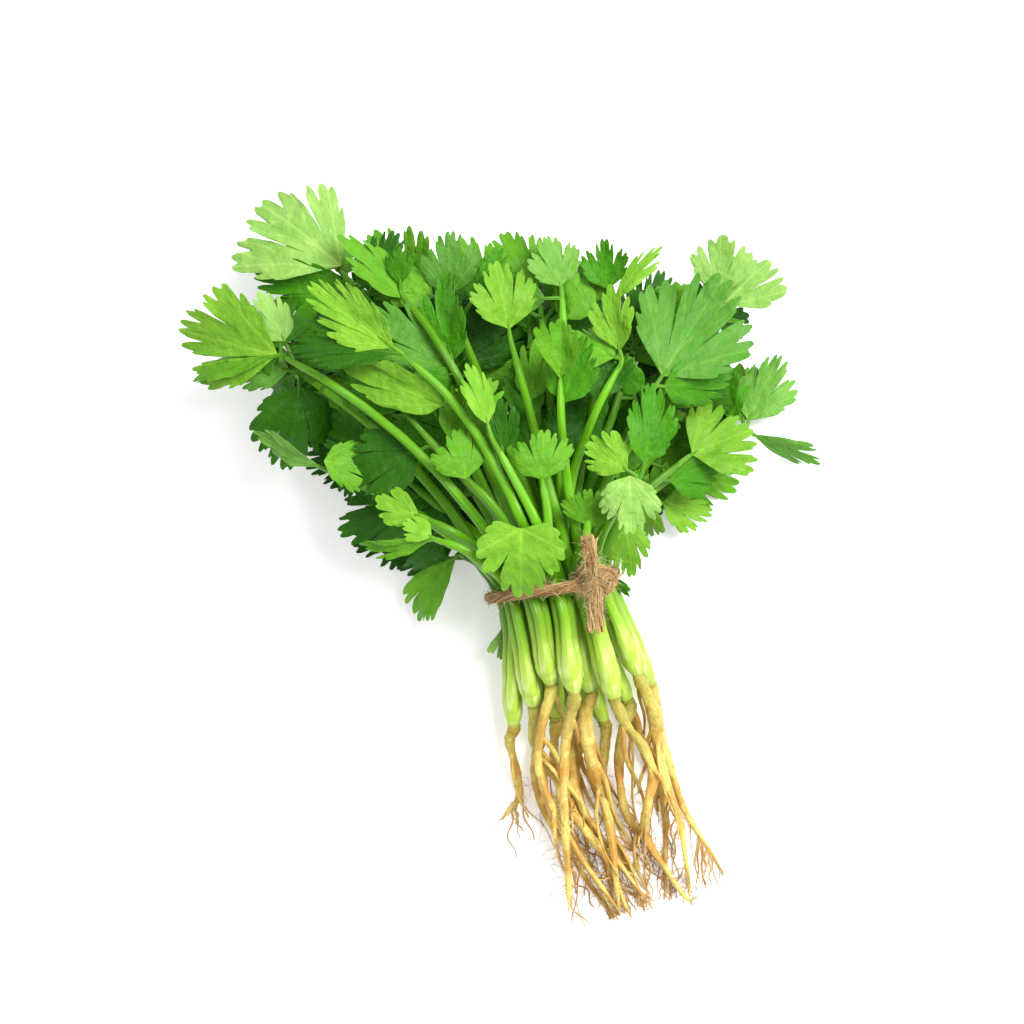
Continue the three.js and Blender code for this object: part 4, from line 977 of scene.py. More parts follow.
def add_roots(shape, main, rootlet, look, rng):
    """Adds a tap root with knobs and rings that runs out in a thin tail, its side root, finer side roots
    that branch off its lower part, and hairs that tangle at its end."""
    corners, radii = main
    tail = corners[-1] + (corners[-1] - corners[-2]) * 0.7 * np.array([1, 1, 0])
    tail[1] = max(tail[1], look.lowest / MM)
    course = root_course(np.vstack([corners, tail]), np.append(radii, ROOT_TAIL_RADIUS), ROOT_STEPS)
    count = len(course)
    angle = 2 * np.pi * np.arange(ROOT_SIDES) / ROOT_SIDES
    far = np.arange(count)[:, None]
    phase = rng.uniform(0, 6, 6)
    knobs = 1 + 0.09 * np.sin(0.63 * far + phase[0]) + 0.06 * np.sin(1.9 * far + phase[1])
    knobs = knobs + 0.09 * np.sin(angle + 0.35 * far + phase[2])
    knobs = knobs + 0.06 * np.sin(2 * angle - 0.5 * far + phase[3])
    knobs = knobs + 0.045 * rng.uniform(-1, 1, (count, ROOT_SIDES))
    share = np.linspace(0, 1, count)
    stain = np.clip(0.2 + 0.5 * share + 0.5 * np.sin(0.4 * np.arange(count) + phase[4]) * (0.4 + share), 0, 1)
    tone = np.array(look.colour) * rng.uniform(0.8, 1.08)
    add_tubes(shape, course[None, :, :3], (course[:, 3:4] * knobs)[None], ROOT_SIDES, 0, tone=tone,
              pale=(1 - share / rng.uniform(0.25, 0.6)).clip(0, 1)[None], vein=stain[None])
    side = root_course(*rootlet, ROOT_STEPS)
    thin = np.linspace(1.2, 0.35, len(side)) * side[:, 3]
    add_tubes(shape, side[None, :, :3], thin[None], SIDE_ROOT_SIDES, 0, tone=tone, vein=0.5)
    step = np.diff(course[:, :2], axis=0)
    share = min(1, np.linalg.norm(step, axis=1).sum() / look.usual_length * MM)
    for number, span, lengths, radius, sides, points, wild, sway, aimed, colour in (
        (look.thick, (0.02, 0.45), (26, 52), 0.95, 8, 20, 0.1, 0.3, 0.9, look.colour),
        (look.branches, (0.45, 0.95), (12, 34), 0.42, 5, 20, 0.3, 0.7, 0.4, look.hair_colour),
        (look.hairs, (0.5, 1), (4, 14), look.hair / MM / 2, 3, 14, 1.1, 1, 0, look.hair_colour),
    ):
        number = int(number * share)
        if number == 0:
            continue
        at = rng.uniform(*span, number) * (count - 1.01)
        starts = place_on(course[:, :3], at)
        own = step[at.astype(int)]
        headings = np.arctan2(own[:, 0], -own[:, 1]) + rng.normal(0, wild, number).clip(-1.4, 1.4)
        turns = rng.normal(0, wild, number).clip(-1, 1) - 0.6 * headings
        gap = starts[:, :2] - ROOT_TANGLE - rng.normal(0, 6, (number, 2))
        aim = np.arctan2(-gap[:, 0], gap[:, 1].clip(8)).clip(-1, 1)
        headings = mix(headings, aim, aimed)
        turns = mix(turns, -0.2 * aim, aimed)
        room = np.maximum(starts[:, 1] - look.lowest / MM, 3)
        far_out = np.minimum(rng.uniform(*lengths, number), room)
        lines = trails(starts, headings, far_out, turns, sway, points, radius, 1.3, rng)
        taper = radius * np.linspace(1, 0.35, points)[None] * rng.uniform(0.6, 1.3, (number, 1))
        tone = np.array(colour) * rng.uniform(0.7, 1.1, (number, 1, 1)) * np.ones((1, points, 1))
        vein = rng.uniform(0, 1, (number, 1)) * np.ones(points)
        add_tubes(shape, lines, taper, sides, 0, tone=tone, vein=vein)


def strands(course, radii, rings, turns, fine, ragged, rng):
    """Courses of the strands of a bundle round a course: they stand in rings about its middle, turn
    slowly round it, sway and end at slightly different lengths. Returns courses and radii of all."""
    tangent = unit(np.gradient(course, axis=0))
    across = np.eye(3)[np.abs(tangent.mean(axis=0)).argmin()]
    side = unit(np.cross(tangent, across))
    up = np.cross(side, tangent)
    t = np.linspace(0, 1, len(course))
    paths, sizes = [], []
    for ring, number in enumerate(rings):
        for i in range(number):
            turn = 2 * np.pi * (i / number + turns * t) + rng.normal(0, 0.2) + 0.5 * ring
            turn = turn + 0.25 * np.sin(len(t) / 6 * t + rng.uniform(0, 6))
            stray = 0.08 * np.sin(9 * t + rng.uniform(0, 6))
            stray = stray + 0.11 * np.sin(len(t) / 5 * t + rng.uniform(0, 6))
            out = ring / (len(rings) - 0.35) * radii * (1 + stray)
            path = course + out[:, None] * (np.cos(turn)[:, None] * side + np.sin(turn)[:, None] * up)
            sway = STRAND_SWAY * np.sin(rng.uniform(0.5, 0.9) * np.arange(len(t)) + rng.uniform(0, 6))
            path = path + sway[:, None] * unit(rng.normal(0, 1, 3))
            reach = rng.uniform(1 - ragged, 1) if ring else 1 - ragged
            paths.append(place_on(path, t * (len(t) - 1) * reach))
            size = fine * radii / radii.mean() * rng.uniform(0.85, 1.15)
            sizes.append(size if ring else CORE_SHARE * radii)
    return np.array(paths), np.array(sizes)


def add_fibres(shape, paths, number, look, rng):
    """Adds loose fibres that leave the strands at a slant and curl away."""
    which = rng.integers(0, len(paths), number)
    at = rng.uniform(0.02, 0.94, number) * (paths.shape[1] - 2)
    place = at.astype(int)
    start = paths[which, place]
    ahead = unit(paths[which, place + 1] - start)
    out = unit(rng.normal(0, 1, (number, 3)))
    out = unit(out - ahead * (out * ahead).sum(axis=1, keepdims=True))
    length = rng.uniform(*FIBRE_LENGTHS, (number, 1, 1))
    t = np.linspace(0, 1, FIBRE_PLACES)[None, :, None]
    curl = unit(rng.normal(0, 1, (number, 3)))[:, None]
    way = rng.choice([-1, 1], (number, 1, 1))
    lines = start[:, None] + length * t * (0.75 * way * ahead[:, None] + out[:, None] * t ** 0.8 * 0.55)
    lines = lines + curl * length * 0.3 * t ** 2
    lines[:, :, 2] = np.maximum(lines[:, :, 2], 0.1)
    radius = look.fibre / MM / 2 * np.linspace(1, 0.5, FIBRE_PLACES)[None] * np.ones((number, 1))
    tone = np.array(look.fibre_colour) * rng.uniform(0.8, 1.15, (number, 1, 1))
    tone = tone * np.ones((1, FIBRE_PLACES, 1))
    add_tubes(shape, lines, radius, 3, 0, tone=tone)


def build_twine(upper_end, look, material):
    """The twine: its loop, the crossing wraps of the knot, two cut ends that part into strands, and loose
    fibres all along."""
    rng = np.random.default_rng(TWINE_SEED)
    shape = Shape()
    fine = look.strand / MM
    loop = twine_loop(LOOP_PLACES)
    start = loop[0].copy()
    loop[:, 0] -= LOOP_NARROWER * np.maximum(loop[:, 0] - KNOT_X, 0)
    loop[:, 0] += LOOP_LEFT_NARROWER * np.maximum(KNOT_X - loop[:, 0], 0)
    loop[:, 1] += LOOP_SLANT * smooth((KNOT_X - loop[:, 0]) / (KNOT_X + TIE_HALF_WIDTH))
    bundles = [(loop, np.full(len(loop), LOOP_RADIUS), LOOP_RINGS, LOOP_TURNS, LOOP_FUZZ, 0)]
    for wrap in KNOT_WRAPS:
        corners = np.array(wrap)
        flat = corners[:, :1] * KNOT_ACROSS + corners[:, 1:2] * KNOT_ALONG
        middle = np.column_stack([flat + start[:2], corners[:, 2] + start[2]])
        course = bend_through(middle, WRAP_STEPS)
        bundles.append((course, np.full(len(course), WRAP_RADIUS), WRAP_RINGS, WRAP_TURNS, WRAP_FUZZ, 0))
    lower_end = np.array(LOWER_END) + start
    for corners, radii in ((upper_end, UPPER_END_RADII), (lower_end, LOWER_END_RADII)):
        end = bend_through(np.column_stack([corners, np.array(radii) * END_SHARE]), END_STEPS)
        bundles.append((end[:, :3], end[:, 3], END_RINGS, END_TURNS, END_FUZZ, END_RAGGED))
    for course, radii, rings, turns, fuzz, ragged in bundles:
        paths, sizes = strands(course, radii, rings, turns, fine, ragged, rng)
        straw = rng.uniform(0, 0.8, (len(paths), 1, 1)) ** 2
        tone = mix(np.array(look.colour), np.array(look.fibre_colour), straw)
        tone = tone * rng.uniform(0.6, 1.2, (len(paths), 1, 1)) * np.ones((1, len(course), 1))
        add_tubes(shape, paths, sizes, 5, 0, tone=tone)
        add_fibres(shape, paths, int(look.fibres * fuzz), look, rng)
    return shape.make("jute_twine", [material])


def inside_heap(points):
    """Which places lie inside the heap's outline, by how often a line from each crosses it."""
    a = np.array(HEAP_EDGE)
    b = np.roll(a, -1, axis=0)
    x, y = points[:, :1], points[:, 1:]
    crosses = (a[:, 1] > y) != (b[:, 1] > y)
    height = np.where(a[:, 1] == b[:, 1], 1, b[:, 1] - a[:, 1])
    at = a[:, 0] + (y - a[:, 1]) / height * (b[:, 0] - a[:, 0])
    return (crosses & (x < at)).sum(axis=1) % 2 == 1


def lay_fillers(stems, pile, count):
    """Leaves inside the heap: each hangs on the nearest stalk that lies low enough and stays under what is
    already on the pile there. Returns lists by plant of leaves and the stalk points that they grow from."""
    rng = np.random.default_rng(FILLER_SEED)
    low, high = np.min(HEAP_EDGE, axis=0), np.max(HEAP_EDGE, axis=0)
    step = math.sqrt(np.prod(high - low) * HEAP_FILLS / count)
    x, y = np.meshgrid(np.arange(low[0], high[0], step), np.arange(low[1], high[1], step))
    spots = np.column_stack([x.ravel(), y.ravel()])
    spots = spots + rng.uniform(-SPOT_STRAY, SPOT_STRAY, spots.shape) * step
    spots = np.vstack([spots[inside_heap(spots)], EXTRA_SPOTS])
    fine = np.concatenate([
        place_on(stem["corners"], np.linspace(0.6, len(stem["corners"]) - 1, STEM_PLACES)) for stem in stems
    ])
    owner = np.repeat([stem["plant"] for stem in stems], STEM_PLACES)
    made = {}
    for spot in spots:
        apart = np.linalg.norm(fine[:, :2] - spot, axis=1)
        roofs = pile.top(spot[0] + ROUND[:, 0], spot[1] + ROUND[:, 1])
        roof = roofs[roofs > 0].min() if (roofs > 0).any() else 0
        cost = apart + 0.5 * np.abs(fine[:, 2] - 0.45 * max(roof, 8))
        nearest = int(np.argmin(np.where(apart > 5, cost, 1e6)))
        root = fine[nearest]
        away = spot - root[:2]
        distance = float(np.linalg.norm(away))
        heading = math.degrees(math.atan2(away[0], away[1]))
        length = rng.uniform(*FILLER_LENGTHS)
        stalk = max(distance - 0.45 * length, 2.5)
        for _ in range(FILLER_TRIES):
            tip = root[:2] + away / distance * (stalk + length)
            if not inside_heap(tip[None])[0]:
                length = FILLER_SHORTER * length
                stalk = max(stalk * FILLER_SHORTER, 1)
        ceiling = max(roof - 5, 5) if roof > 0 else 24
        end = min(max(root[2] - 1, 4), ceiling) * rng.uniform(0.55, 1)
        pitch = math.degrees(math.atan2(end - root[2], distance + 0.3 * length))
        row = (0, heading, length, length * rng.uniform(0.85, 1.05), np.clip(pitch, -35, 12),
               rng.uniform(-16, 16), rng.uniform(4, 14), rng.uniform(0.02, 0.14), stalk)
        # Inner leaves in the low right part take bright tones, painted light; elsewhere mostly darker ones,
        # painted shade inside the heap.
        low_right = spot[0] > LOW_RIGHT[0] and spot[1] < LOW_RIGHT[1]
        tone = TONES[("ffbffmf" if low_right else "mmdmdfm")[rng.integers(7)]]
        leaf = {"row": row, "joint": root, "tone": tone, "inner": True, "spot": spot}
        made.setdefault(int(owner[nearest]), []).append(leaf)
    return made


def build_plant(number, stems, fillers, leaf_look, stalk_look, materials):
    """One plant: crown, stalks and leaves, those inside the heap with fewer faces."""
    rng = np.random.default_rng(PLANT_SEED + number)
    shape = Shape()
    add_crown(shape, PLANTS[number - 1], stalk_look, 1, rng)
    for stem in stems:
        if stem["plant"] != number:
            continue
        add_stalk(shape, stem, stalk_look, 1, rng)
        for which, leaf in enumerate(stem["leaves"]):
            leaf["colour"] = np.array(getattr(leaf_look, TONES[leaf["tone"]])) * rng.uniform(0.9, 1.08)
            leaf.update(STYLES.get((number, stem["slot"], which), {}))
            # Painted light and shade: the style's shade makes a leaf lighter or darker for how it is lit, as
            # well as for its own tone.
            leaf["colour"] = leaf["colour"] * leaf.get("shade", 1)
            leaf["joint"] = leaf["joint"] + np.array(leaf.get("move", (0, 0, 0)))
            last = stem["corners"][-1] - stem["corners"][-2]
            off = leaf["row"][1] - math.degrees(math.atan2(last[0], last[1]))
            if leaf["row"][0] < 0.9 and abs(off) < PASSES_OVER:
                leaf["joint"] = leaf["joint"] + UNDER_STEM
            back = place_on(stem["corners"], max(leaf["at"] - 0.3, 0))
            add_leaf(shape, leaf, back, leaf_look, stalk_look, rng)
    for plant, joint, tone, row in LOW_LEAVES:
        if plant == number:
            small = (*row[:2], row[2] * LOW_LEAF_SIZE, row[3] * LOW_LEAF_SIZE, *row[4:])
            leaf = {"row": small, "joint": np.array(joint, float), "colour": getattr(leaf_look, TONES[tone])}
            add_leaf(shape, leaf, None, leaf_look, stalk_look, rng)
    for leaf in fillers.get(number, []):
        # Painted shade: inner leaves are darkened at random, and much more towards the heap's lower left.
        across, along = leaf["spot"]
        painted_shade = smooth((PAINTED_SHADE_RIGHT - across) / PAINTED_SHADE_FADE) * smooth((PAINTED_SHADE_UPPER - along) / PAINTED_SHADE_FADE)
        shade = rng.uniform(*FILLER_SHADES) * mix(1, PAINTED_SHADE_DEEPEST, painted_shade)
        leaf["colour"] = np.array(getattr(leaf_look, leaf["tone"])) * shade
        add_leaf(shape, leaf, None, leaf_look, stalk_look, rng)
    return shape.make(f"leafy_plant_{number:02d}", materials)


# ---- Materials ----------------------------------------------------------------------------------------


def tint(red, green, blue):
    """A linear colour from its eight-bit one."""
    share = np.array([red, green, blue]) / 255
    linear = np.where(share <= 0.04045, share / 12.92, ((share + 0.055) / 1.055) ** 2.4)
    return tuple(float(value) for value in linear)


class Surface:
    """A material's nodes: each call adds one and gives back its output."""

    def __init__(self, name):
        self.material = bpy.data.materials.new(name)
        self.material.use_nodes = True
        self.tree = self.material.node_tree
        self.shader = self.tree.nodes["Principled BSDF"]

    def feed(self, node, sockets):
        for name, value in sockets.items():
            if isinstance(value, bpy.types.NodeSocket):
                self.tree.links.new(value, node.inputs[name])
            else:
                node.inputs[name].default_value = value

    def add(self, kind, sockets, output=0, **settings):
        node = self.tree.nodes.new("ShaderNode" + kind)
        for name, value in settings.items():
            setattr(node, name, value)
        self.feed(node, sockets)
        return node.outputs[output]

    def place(self, output="Object"):
        return self.add("TexCoord", {}, output)

    def painted(self, name, output="Fac"):
        return self.add("Attribute", {}, output, attribute_name=name)

    def noise(self, place, scale, detail=3.0):
        return self.add("TexNoise", {"Vector": place, "Scale": scale, "Detail": detail}, "Fac")

    def stretched(self, place, scale):
        return self.add("Mapping", {"Vector": place, "Scale": scale}, "Vector")

    def ranged(self, value, low, high, to_low, to_high):
        return self.add("MapRange", {"Value": value, "From Min": low, "From Max": high, "To Min": to_low,
                                     "To Max": to_high}, "Result")

    def maths(self, operation, *values):
        return self.add("Math", dict(enumerate(values)), "Value", operation=operation)

    def times(self, a, b):
        return self.maths("MULTIPLY", a, b)

    def split(self, place):
        x = self.add("SeparateXYZ", {"Vector": place}, "X")
        return x, x.node.outputs["Y"]

    def vein(self, off, out, width):
        """1 on a vein and 0 away from it: off is the angle from it, out the distance along it."""
        return self.ranged(self.times(off, out), width, width * 2.2, 1.0, 0.0)

    def blend(self, share, a, b, kind="MIX"):
        return self.add("Mix", {0: share, 6: a, 7: b}, 2, data_type="RGBA", blend_type=kind)

    def bump(self, height, distance, normal=None):
        sockets = {"Height": height, "Distance": distance}
        if normal is not None:
            sockets["Normal"] = normal
        return self.add("Bump", sockets, "Normal")

    def finish(self, sockets):
        self.feed(self.shader, sockets)
        return self.material


def leaf_material(look):
    """Leaf: patches of tone, lighter patches along the lobes that are painted light, fine pale veins along
    the lobes' ribs and their branches, a paler underside and a net of the smallest veins."""
    s = Surface("coriander leaf")
    place = s.place()
    patches = s.noise(place, 75.0)
    lobes = s.noise(s.stretched(s.place("UV"), (0.8, 1.1, 1.0)), 1.3, 1.0)
    fine = s.noise(place, 700.0, 2.0)
    tone = s.painted("tone", "Color")
    shade = s.blend(s.ranged(patches, 0.35, 0.7, 0.0, 0.75), tone, (0.66, 0.78, 0.5, 1), "MULTIPLY")
    # Lighter patches along the lobes: painted light, standing in for the soft highlights and shading across
    # curved blades.
    shade = s.blend(s.ranged(lobes, 0.4, 0.65, 0.0, 0.8), shade, (1.28, 1.12, 1.3, 1), "MULTIPLY")
    shade = s.blend(s.ranged(fine, 0.4, 0.8, 0.0, 0.35), shade, (1.2, 1.12, 0.95, 1), "MULTIPLY")
    across, out = s.split(s.place("UV"))
    off = s.maths("ABSOLUTE", s.maths("MULTIPLY_ADD", s.maths("FRACT", across), 2.0, -1.0))
    veins = s.vein(off, out, 0.020)
    for reach, first, last, width in ((0.667, 0.12, 0.8, 0.014), (0.34, 0.45, 1.0, 0.010)):
        path = s.times(s.add("MapRange", {"Value": out, "From Min": first, "From Max": last}, "Result",
                             interpolation_type="SMOOTHSTEP"), reach)
        branch = s.vein(s.maths("ABSOLUTE", s.maths("SUBTRACT", off, path)), out, width)
        veins = s.maths("MAXIMUM", veins, branch)
    shade = s.blend(s.times(veins, 0.4), shade, (1.7, 1.35, 1.7, 1), "MULTIPLY")
    shade = s.blend(s.ranged(out, 0.0, 0.3, 0.4, 0.0), shade, (1.7, 1.35, 1.3, 1), "MULTIPLY")
    shade = s.blend(s.times(s.painted("under"), 0.5), shade, (*look.underside, 1))
    net = s.add("TexVoronoi", {"Vector": place, "Scale": 900.0}, "Distance", feature="DISTANCE_TO_EDGE")
    swell = s.noise(place, 190.0, 2.0)
    normal = s.bump(veins, -0.00007, s.bump(swell, 0.0018))
    normal = s.bump(s.ranged(net, 0.0, 0.25, 0.0, 1.0), 0.00003, normal)
    rough = s.ranged(fine, 0.3, 0.7, 0.4, 0.55)
    return s.finish({"Base Color": shade, "Roughness": rough, "Normal": normal, "Specular IOR Level": 0.13})


def stalk_material(look):
    """Stalk and crown: fine streaks and ribs lengthwise, fading to a paler sheath in the crown
    with whitish streaks, partly pale streaks and partly painted highlight, and a little brown at its lower
    end."""
    s = Surface("coriander stalk")
    uv = s.place("UV")
    streaks = s.noise(s.stretched(uv, (9.0, 0.05, 1.0)), 2.0)
    broad = s.noise(s.stretched(uv, (3.0, 0.06, 1.0)), 1.6, 1.0)
    blotch = s.noise(s.place(), 130.0)
    tone = s.painted("tone", "Color")
    shade = s.blend(s.ranged(streaks, 0.35, 0.7, 0.0, 0.6), tone, (0.66, 0.8, 0.45, 1), "MULTIPLY")
    shade = s.blend(s.ranged(blotch, 0.4, 0.75, 0.0, 0.4), shade, (1.15, 1.1, 0.9, 1), "MULTIPLY")
    pale = s.painted("pale")
    shade = s.blend(s.times(pale, s.ranged(streaks, 0.3, 0.65, 0.55, 0.9)), shade, (*look.sheath, 1))
    # Whitish patches on the pale crowns: partly pale streaks, partly painted highlight.
    pale_streaks_and_highlight = s.times(s.ranged(pale, 0.6, 1.0, 0.0, 0.8), s.ranged(broad, 0.44, 0.6, 0.0, 1.0))
    shade = s.blend(pale_streaks_and_highlight, shade, (*look.pale_streaks_and_highlight, 1))
    brown = s.times(s.painted("under"), s.ranged(blotch, 0.4, 0.6, 0.0, 1.0))
    shade = s.blend(brown, shade, (*look.torn, 1))
    ribs = s.noise(s.stretched(uv, (14.0, 0.02, 1.0)), 1.6, 1.0)
    normal = s.bump(ribs, 0.0004)
    rough = s.ranged(streaks, 0.3, 0.7, 0.26, 0.42)
    return s.finish({"Base Color": shade, "Roughness": rough, "Normal": normal, "Specular IOR Level": 0.28})


def root_material(look):
    """Root: tan skin with brown stains and rings, lighter streaks that are partly painted highlight, and
    greenish where it leaves the crown.
    """
    s = Surface("coriander root")
    place = s.place()
    uv = s.place("UV")
    blotch = s.noise(place, 150.0)
    grain = s.noise(place, 1100.0, 4.0)
    tone = s.painted("tone", "Color")
    stained = s.ranged(s.painted("vein"), 0.0, 1.0, 0.0, 0.28)
    stain = s.ranged(s.maths("ADD", blotch, stained), 0.57, 0.76, 0.0, 0.75)
    shade = s.blend(stain, tone, (*look.stain, 1))
    specks = s.noise(s.stretched(uv, (2.0, 2.2, 1.0)), 2.0, 3.0)
    shade = s.blend(s.ranged(specks, 0.55, 0.72, 0.0, 0.6), shade, (*look.stain, 1))
    shade = s.blend(s.ranged(grain, 0.35, 0.75, 0.0, 0.45), shade, (0.78, 0.66, 0.48, 1), "MULTIPLY")
    rings = s.noise(s.stretched(uv, (1.2, 1.4, 1.0)), 2.2, 3.0)
    streaks = s.noise(s.stretched(uv, (4.0, 0.12, 1.0)), 2.0, 2.0)
    shade = s.blend(s.ranged(rings, 0.36, 0.5, 0.32, 0.0), shade, (0.74, 0.56, 0.36, 1), "MULTIPLY")
    shade = s.blend(s.ranged(streaks, 0.34, 0.5, 0.6, 0.0), shade, (0.78, 0.62, 0.42, 1), "MULTIPLY")
    # Lighter, bluish-white streaks: partly paler skin, partly painted highlight.
    shade = s.blend(s.ranged(streaks, 0.52, 0.66, 0.0, 0.7), shade, (1.12, 1.14, 1.3, 1), "MULTIPLY")
    top = s.times(s.painted("pale"), s.ranged(blotch, 0.3, 0.6, 1.0, 0.7))
    shade = s.blend(top, shade, (*look.top, 1))
    normal = s.bump(rings, 0.00022, s.bump(grain, 0.0002, s.bump(streaks, 0.0004)))
    rough = s.ranged(grain, 0.3, 0.7, 0.4, 0.6)
    return s.finish({"Base Color": shade, "Roughness": rough, "Normal": normal, "Specular IOR Level": 0.3})


def jute_material():
    """Jute: fibres lengthwise along every strand, lighter and darker."""
    s = Surface("jute")
    uv = s.place("UV")
    fibres = s.noise(s.stretched(uv, (7.0, 0.16, 1.0)), 3.0, 4.0)
    tone = s.painted("tone", "Color")
    shade = s.blend(s.ranged(fibres, 0.35, 0.7, 0.0, 0.7), tone, (0.58, 0.45, 0.32, 1), "MULTIPLY")
    normal = s.bump(fibres, 0.0003)
    rough = s.ranged(fibres, 0.3, 0.7, 0.62, 0.85)
    return s.finish({"Base Color": shade, "Roughness": rough, "Normal": normal})


def plain_material(name, colour, roughness, glow):
    s = Surface(name)
    return s.finish({"Base Color": (*colour, 1), "Roughness": roughness, "Emission Color": (1, 1, 1, 1),
                     "Emission Strength": glow})


# ---- Looks --------------------------------------------------------------------------------------------


def size_property(name, description, default):
    return bpy.props.FloatProperty(name=name, description=description, default=default, min=0, unit="LENGTH",
                                   precision=5)


def share_property(name, description, default, top=1):
    return bpy.props.FloatProperty(name=name, description=description, default=default, min=0, max=top,
                                   subtype="FACTOR")


def count_property(name, description, default):
    return bpy.props.IntProperty(name=name, description=description, default=default, min=0)


def colour_property(name, description, *eight_bit):
    return bpy.props.FloatVectorProperty(name=name, description=description, default=tint(*eight_bit), min=0,
                                         max=1, size=3, subtype="COLOR")


class CORIANDER_PG_leaf(bpy.types.PropertyGroup):
    """Sizes and colours of the leaves"""

    thickness: size_property("Thickness", "Thickness of a blade away from its rim", 0.00035)
    fine_above: size_property("Fine above", "Width from which a blade has small teeth", 0.0172)
    lobe_depth: share_property("Lobe depth", "Depth of the slits between the three lobes", 0.42)
    lobe_round: share_property("Lobe rounding", "How far a lobe's sides fall back from its middle", 0.08)
    part_depth: share_property("Part depth", "Depth of the notches between a lobe's parts", 0.15)
    tooth_depth: share_property("Tooth depth", "Depth of the notches between the teeth", 0.1)
    wave: share_property("Wave", "Height of a blade's slow wave, as a share of its length", 0.045)
    twist: share_property("Twist", "Twist of a blade along its rib", 0.34)
    cup: share_property("Cup", "How far a blade's sides bend up or down", 0.95)
    lobe_bend: share_property("Lobe bend", "How far each lobe's tip bends up or down", 0.17)
    ruffle: size_property("Ruffle", "Height of the small ruffle at the rim", 0.00035)
    fillers: count_property("Inner leaves", "Leaves inside the heap, under those that show", 120)
    pale: colour_property("Pale", "The palest leaves", 130, 176, 84)
    bright: colour_property("Bright", "Bright yellow-green leaves", 110, 166, 44)
    fresh: colour_property("Fresh", "Fresh green leaves", 86, 146, 30)
    middle: colour_property("Middle", "Middle green leaves", 62, 126, 18)
    deep: colour_property("Deep", "The darkest leaves", 38, 90, 9)
    bluish: colour_property("Bluish", "Bluish green leaves", 78, 134, 44)
    light: colour_property("Light", "Light bluish leaves", 98, 150, 60)
    underside: colour_property("Underside", "The underside of the leaves", 112, 152, 74)


class CORIANDER_PG_stalk(bpy.types.PropertyGroup):
    """Sizes and colours of the stalks and crowns"""

    sides: count_property("Sides", "Sides of a stalk", 14)
    highest: size_property("Highest", "Height over which no stalk's middle rises", 0.0745)
    colour: colour_property("Stalk", "The stalks", 90, 150, 12)
    sheath: colour_property("Sheath", "The pale sheaths of the crowns", 190, 218, 80)
    # Whitish streaks on the crowns: partly pale streaks, partly painted highlight.
    pale_streaks_and_highlight: colour_property("White", "Whitish streaks on the crowns", 222, 232, 156)
    torn: colour_property("Torn edge", "Brown bits at a crown's lower end", 132, 100, 40)


class CORIANDER_PG_root(bpy.types.PropertyGroup):
    """Sizes and colours of the roots"""

    thick: count_property("Thick side roots", "Thick side roots of each root", 2)
    branches: count_property("Branches", "Fine side roots of each root", 11)
    hairs: count_property("Hairs", "Hairs of each root", 46)
    hair: size_property("Hair", "Thickness of a hair", 0.0002)
    usual_length: size_property("Usual length", "Length from which a root has all its side roots", 0.08)
    lowest: bpy.props.FloatProperty(name="Lowest", description="How far down the bunch the hairs may reach",
                                    default=-0.119, unit="LENGTH")
    colour: colour_property("Root", "The skin of the roots", 228, 208, 116)
    stain: colour_property("Stain", "Brown stains", 192, 138, 56)
    top: colour_property("Top", "The root's top, under the crown", 122, 132, 28)
    hair_colour: colour_property("Hairs", "Fine roots and hairs", 224, 194, 132)


class CORIANDER_PG_twine(bpy.types.PropertyGroup):
    """Sizes and colours of the twine"""

    strand: size_property("Strand", "Radius of a strand", 0.00027)
    fibre: size_property("Fibre", "Thickness of a loose fibre", 0.00019)
    fibres: count_property("Fibres", "Loose fibres round the loop", 620)
    colour: colour_property("Jute", "The strands", 192, 140, 78)
    fibre_colour: colour_property("Loose fibres", "The loose fibres", 240, 222, 168)


class CORIANDER_PG_stage(bpy.types.PropertyGroup):
    """The floor, the light and the camera"""

    floor: colour_property("Floor", "The floor", 250, 250, 250)
    floor_glow: share_property("Floor glow", "Light that the floor gives off itself", 0.28)
    lens: bpy.props.FloatProperty(name="Lens", description="Focal length in millimetres", default=100.45)
    height: size_property("Camera height", "Height of the camera over the floor", 1.020)
    across: bpy.props.FloatProperty(name="Camera across", description="Place of the camera in X",
                                    default=-0.00925, unit="LENGTH")
    forward: bpy.props.FloatProperty(name="Camera forward", description="Place of the camera in Y",
                                     default=0.0088, unit="LENGTH")
    turn: bpy.props.FloatProperty(
        name="Camera turn", description="Turn of the camera about its line of sight",
        default=math.radians(-17), unit="ROTATION",
    )
    light: bpy.props.FloatProperty(name="Light", description="Power of the large light in watts", default=17)
    glow: bpy.props.FloatProperty(name="Glow", description="Brightness of the surroundings", default=0.82)


# ---- Operators ----------------------------------------------------------------------------------------


def put_on_bunch(piece, node):
    """The piece rides on the bunch and stands for its CAD node."""
    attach(piece, "root")
    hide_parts(node)


class CORIANDER_OT_leafy_plants(bpy.types.Operator):
    """Makes the fifteen plants, each with its crown, stalks and leaves"""

    bl_idname = "coriander.leafy_plants"
    bl_label = "Leafy plants"

    def execute(self, context):
        leaf_look = context.scene.coriander_leaf
        stalk_look = context.scene.coriander_stalk
        materials = [leaf_material(leaf_look), stalk_material(stalk_look)]
        stems, _, _, pile = lay_bunch()
        fillers = lay_fillers(stems, pile, leaf_look.fillers)
        for number in range(1, len(PLANTS) + 1):
            piece = build_plant(number, stems, fillers, leaf_look, stalk_look, materials)
            put_on_bunch(piece, f"plant_{number:02d}")
        return {"FINISHED"}


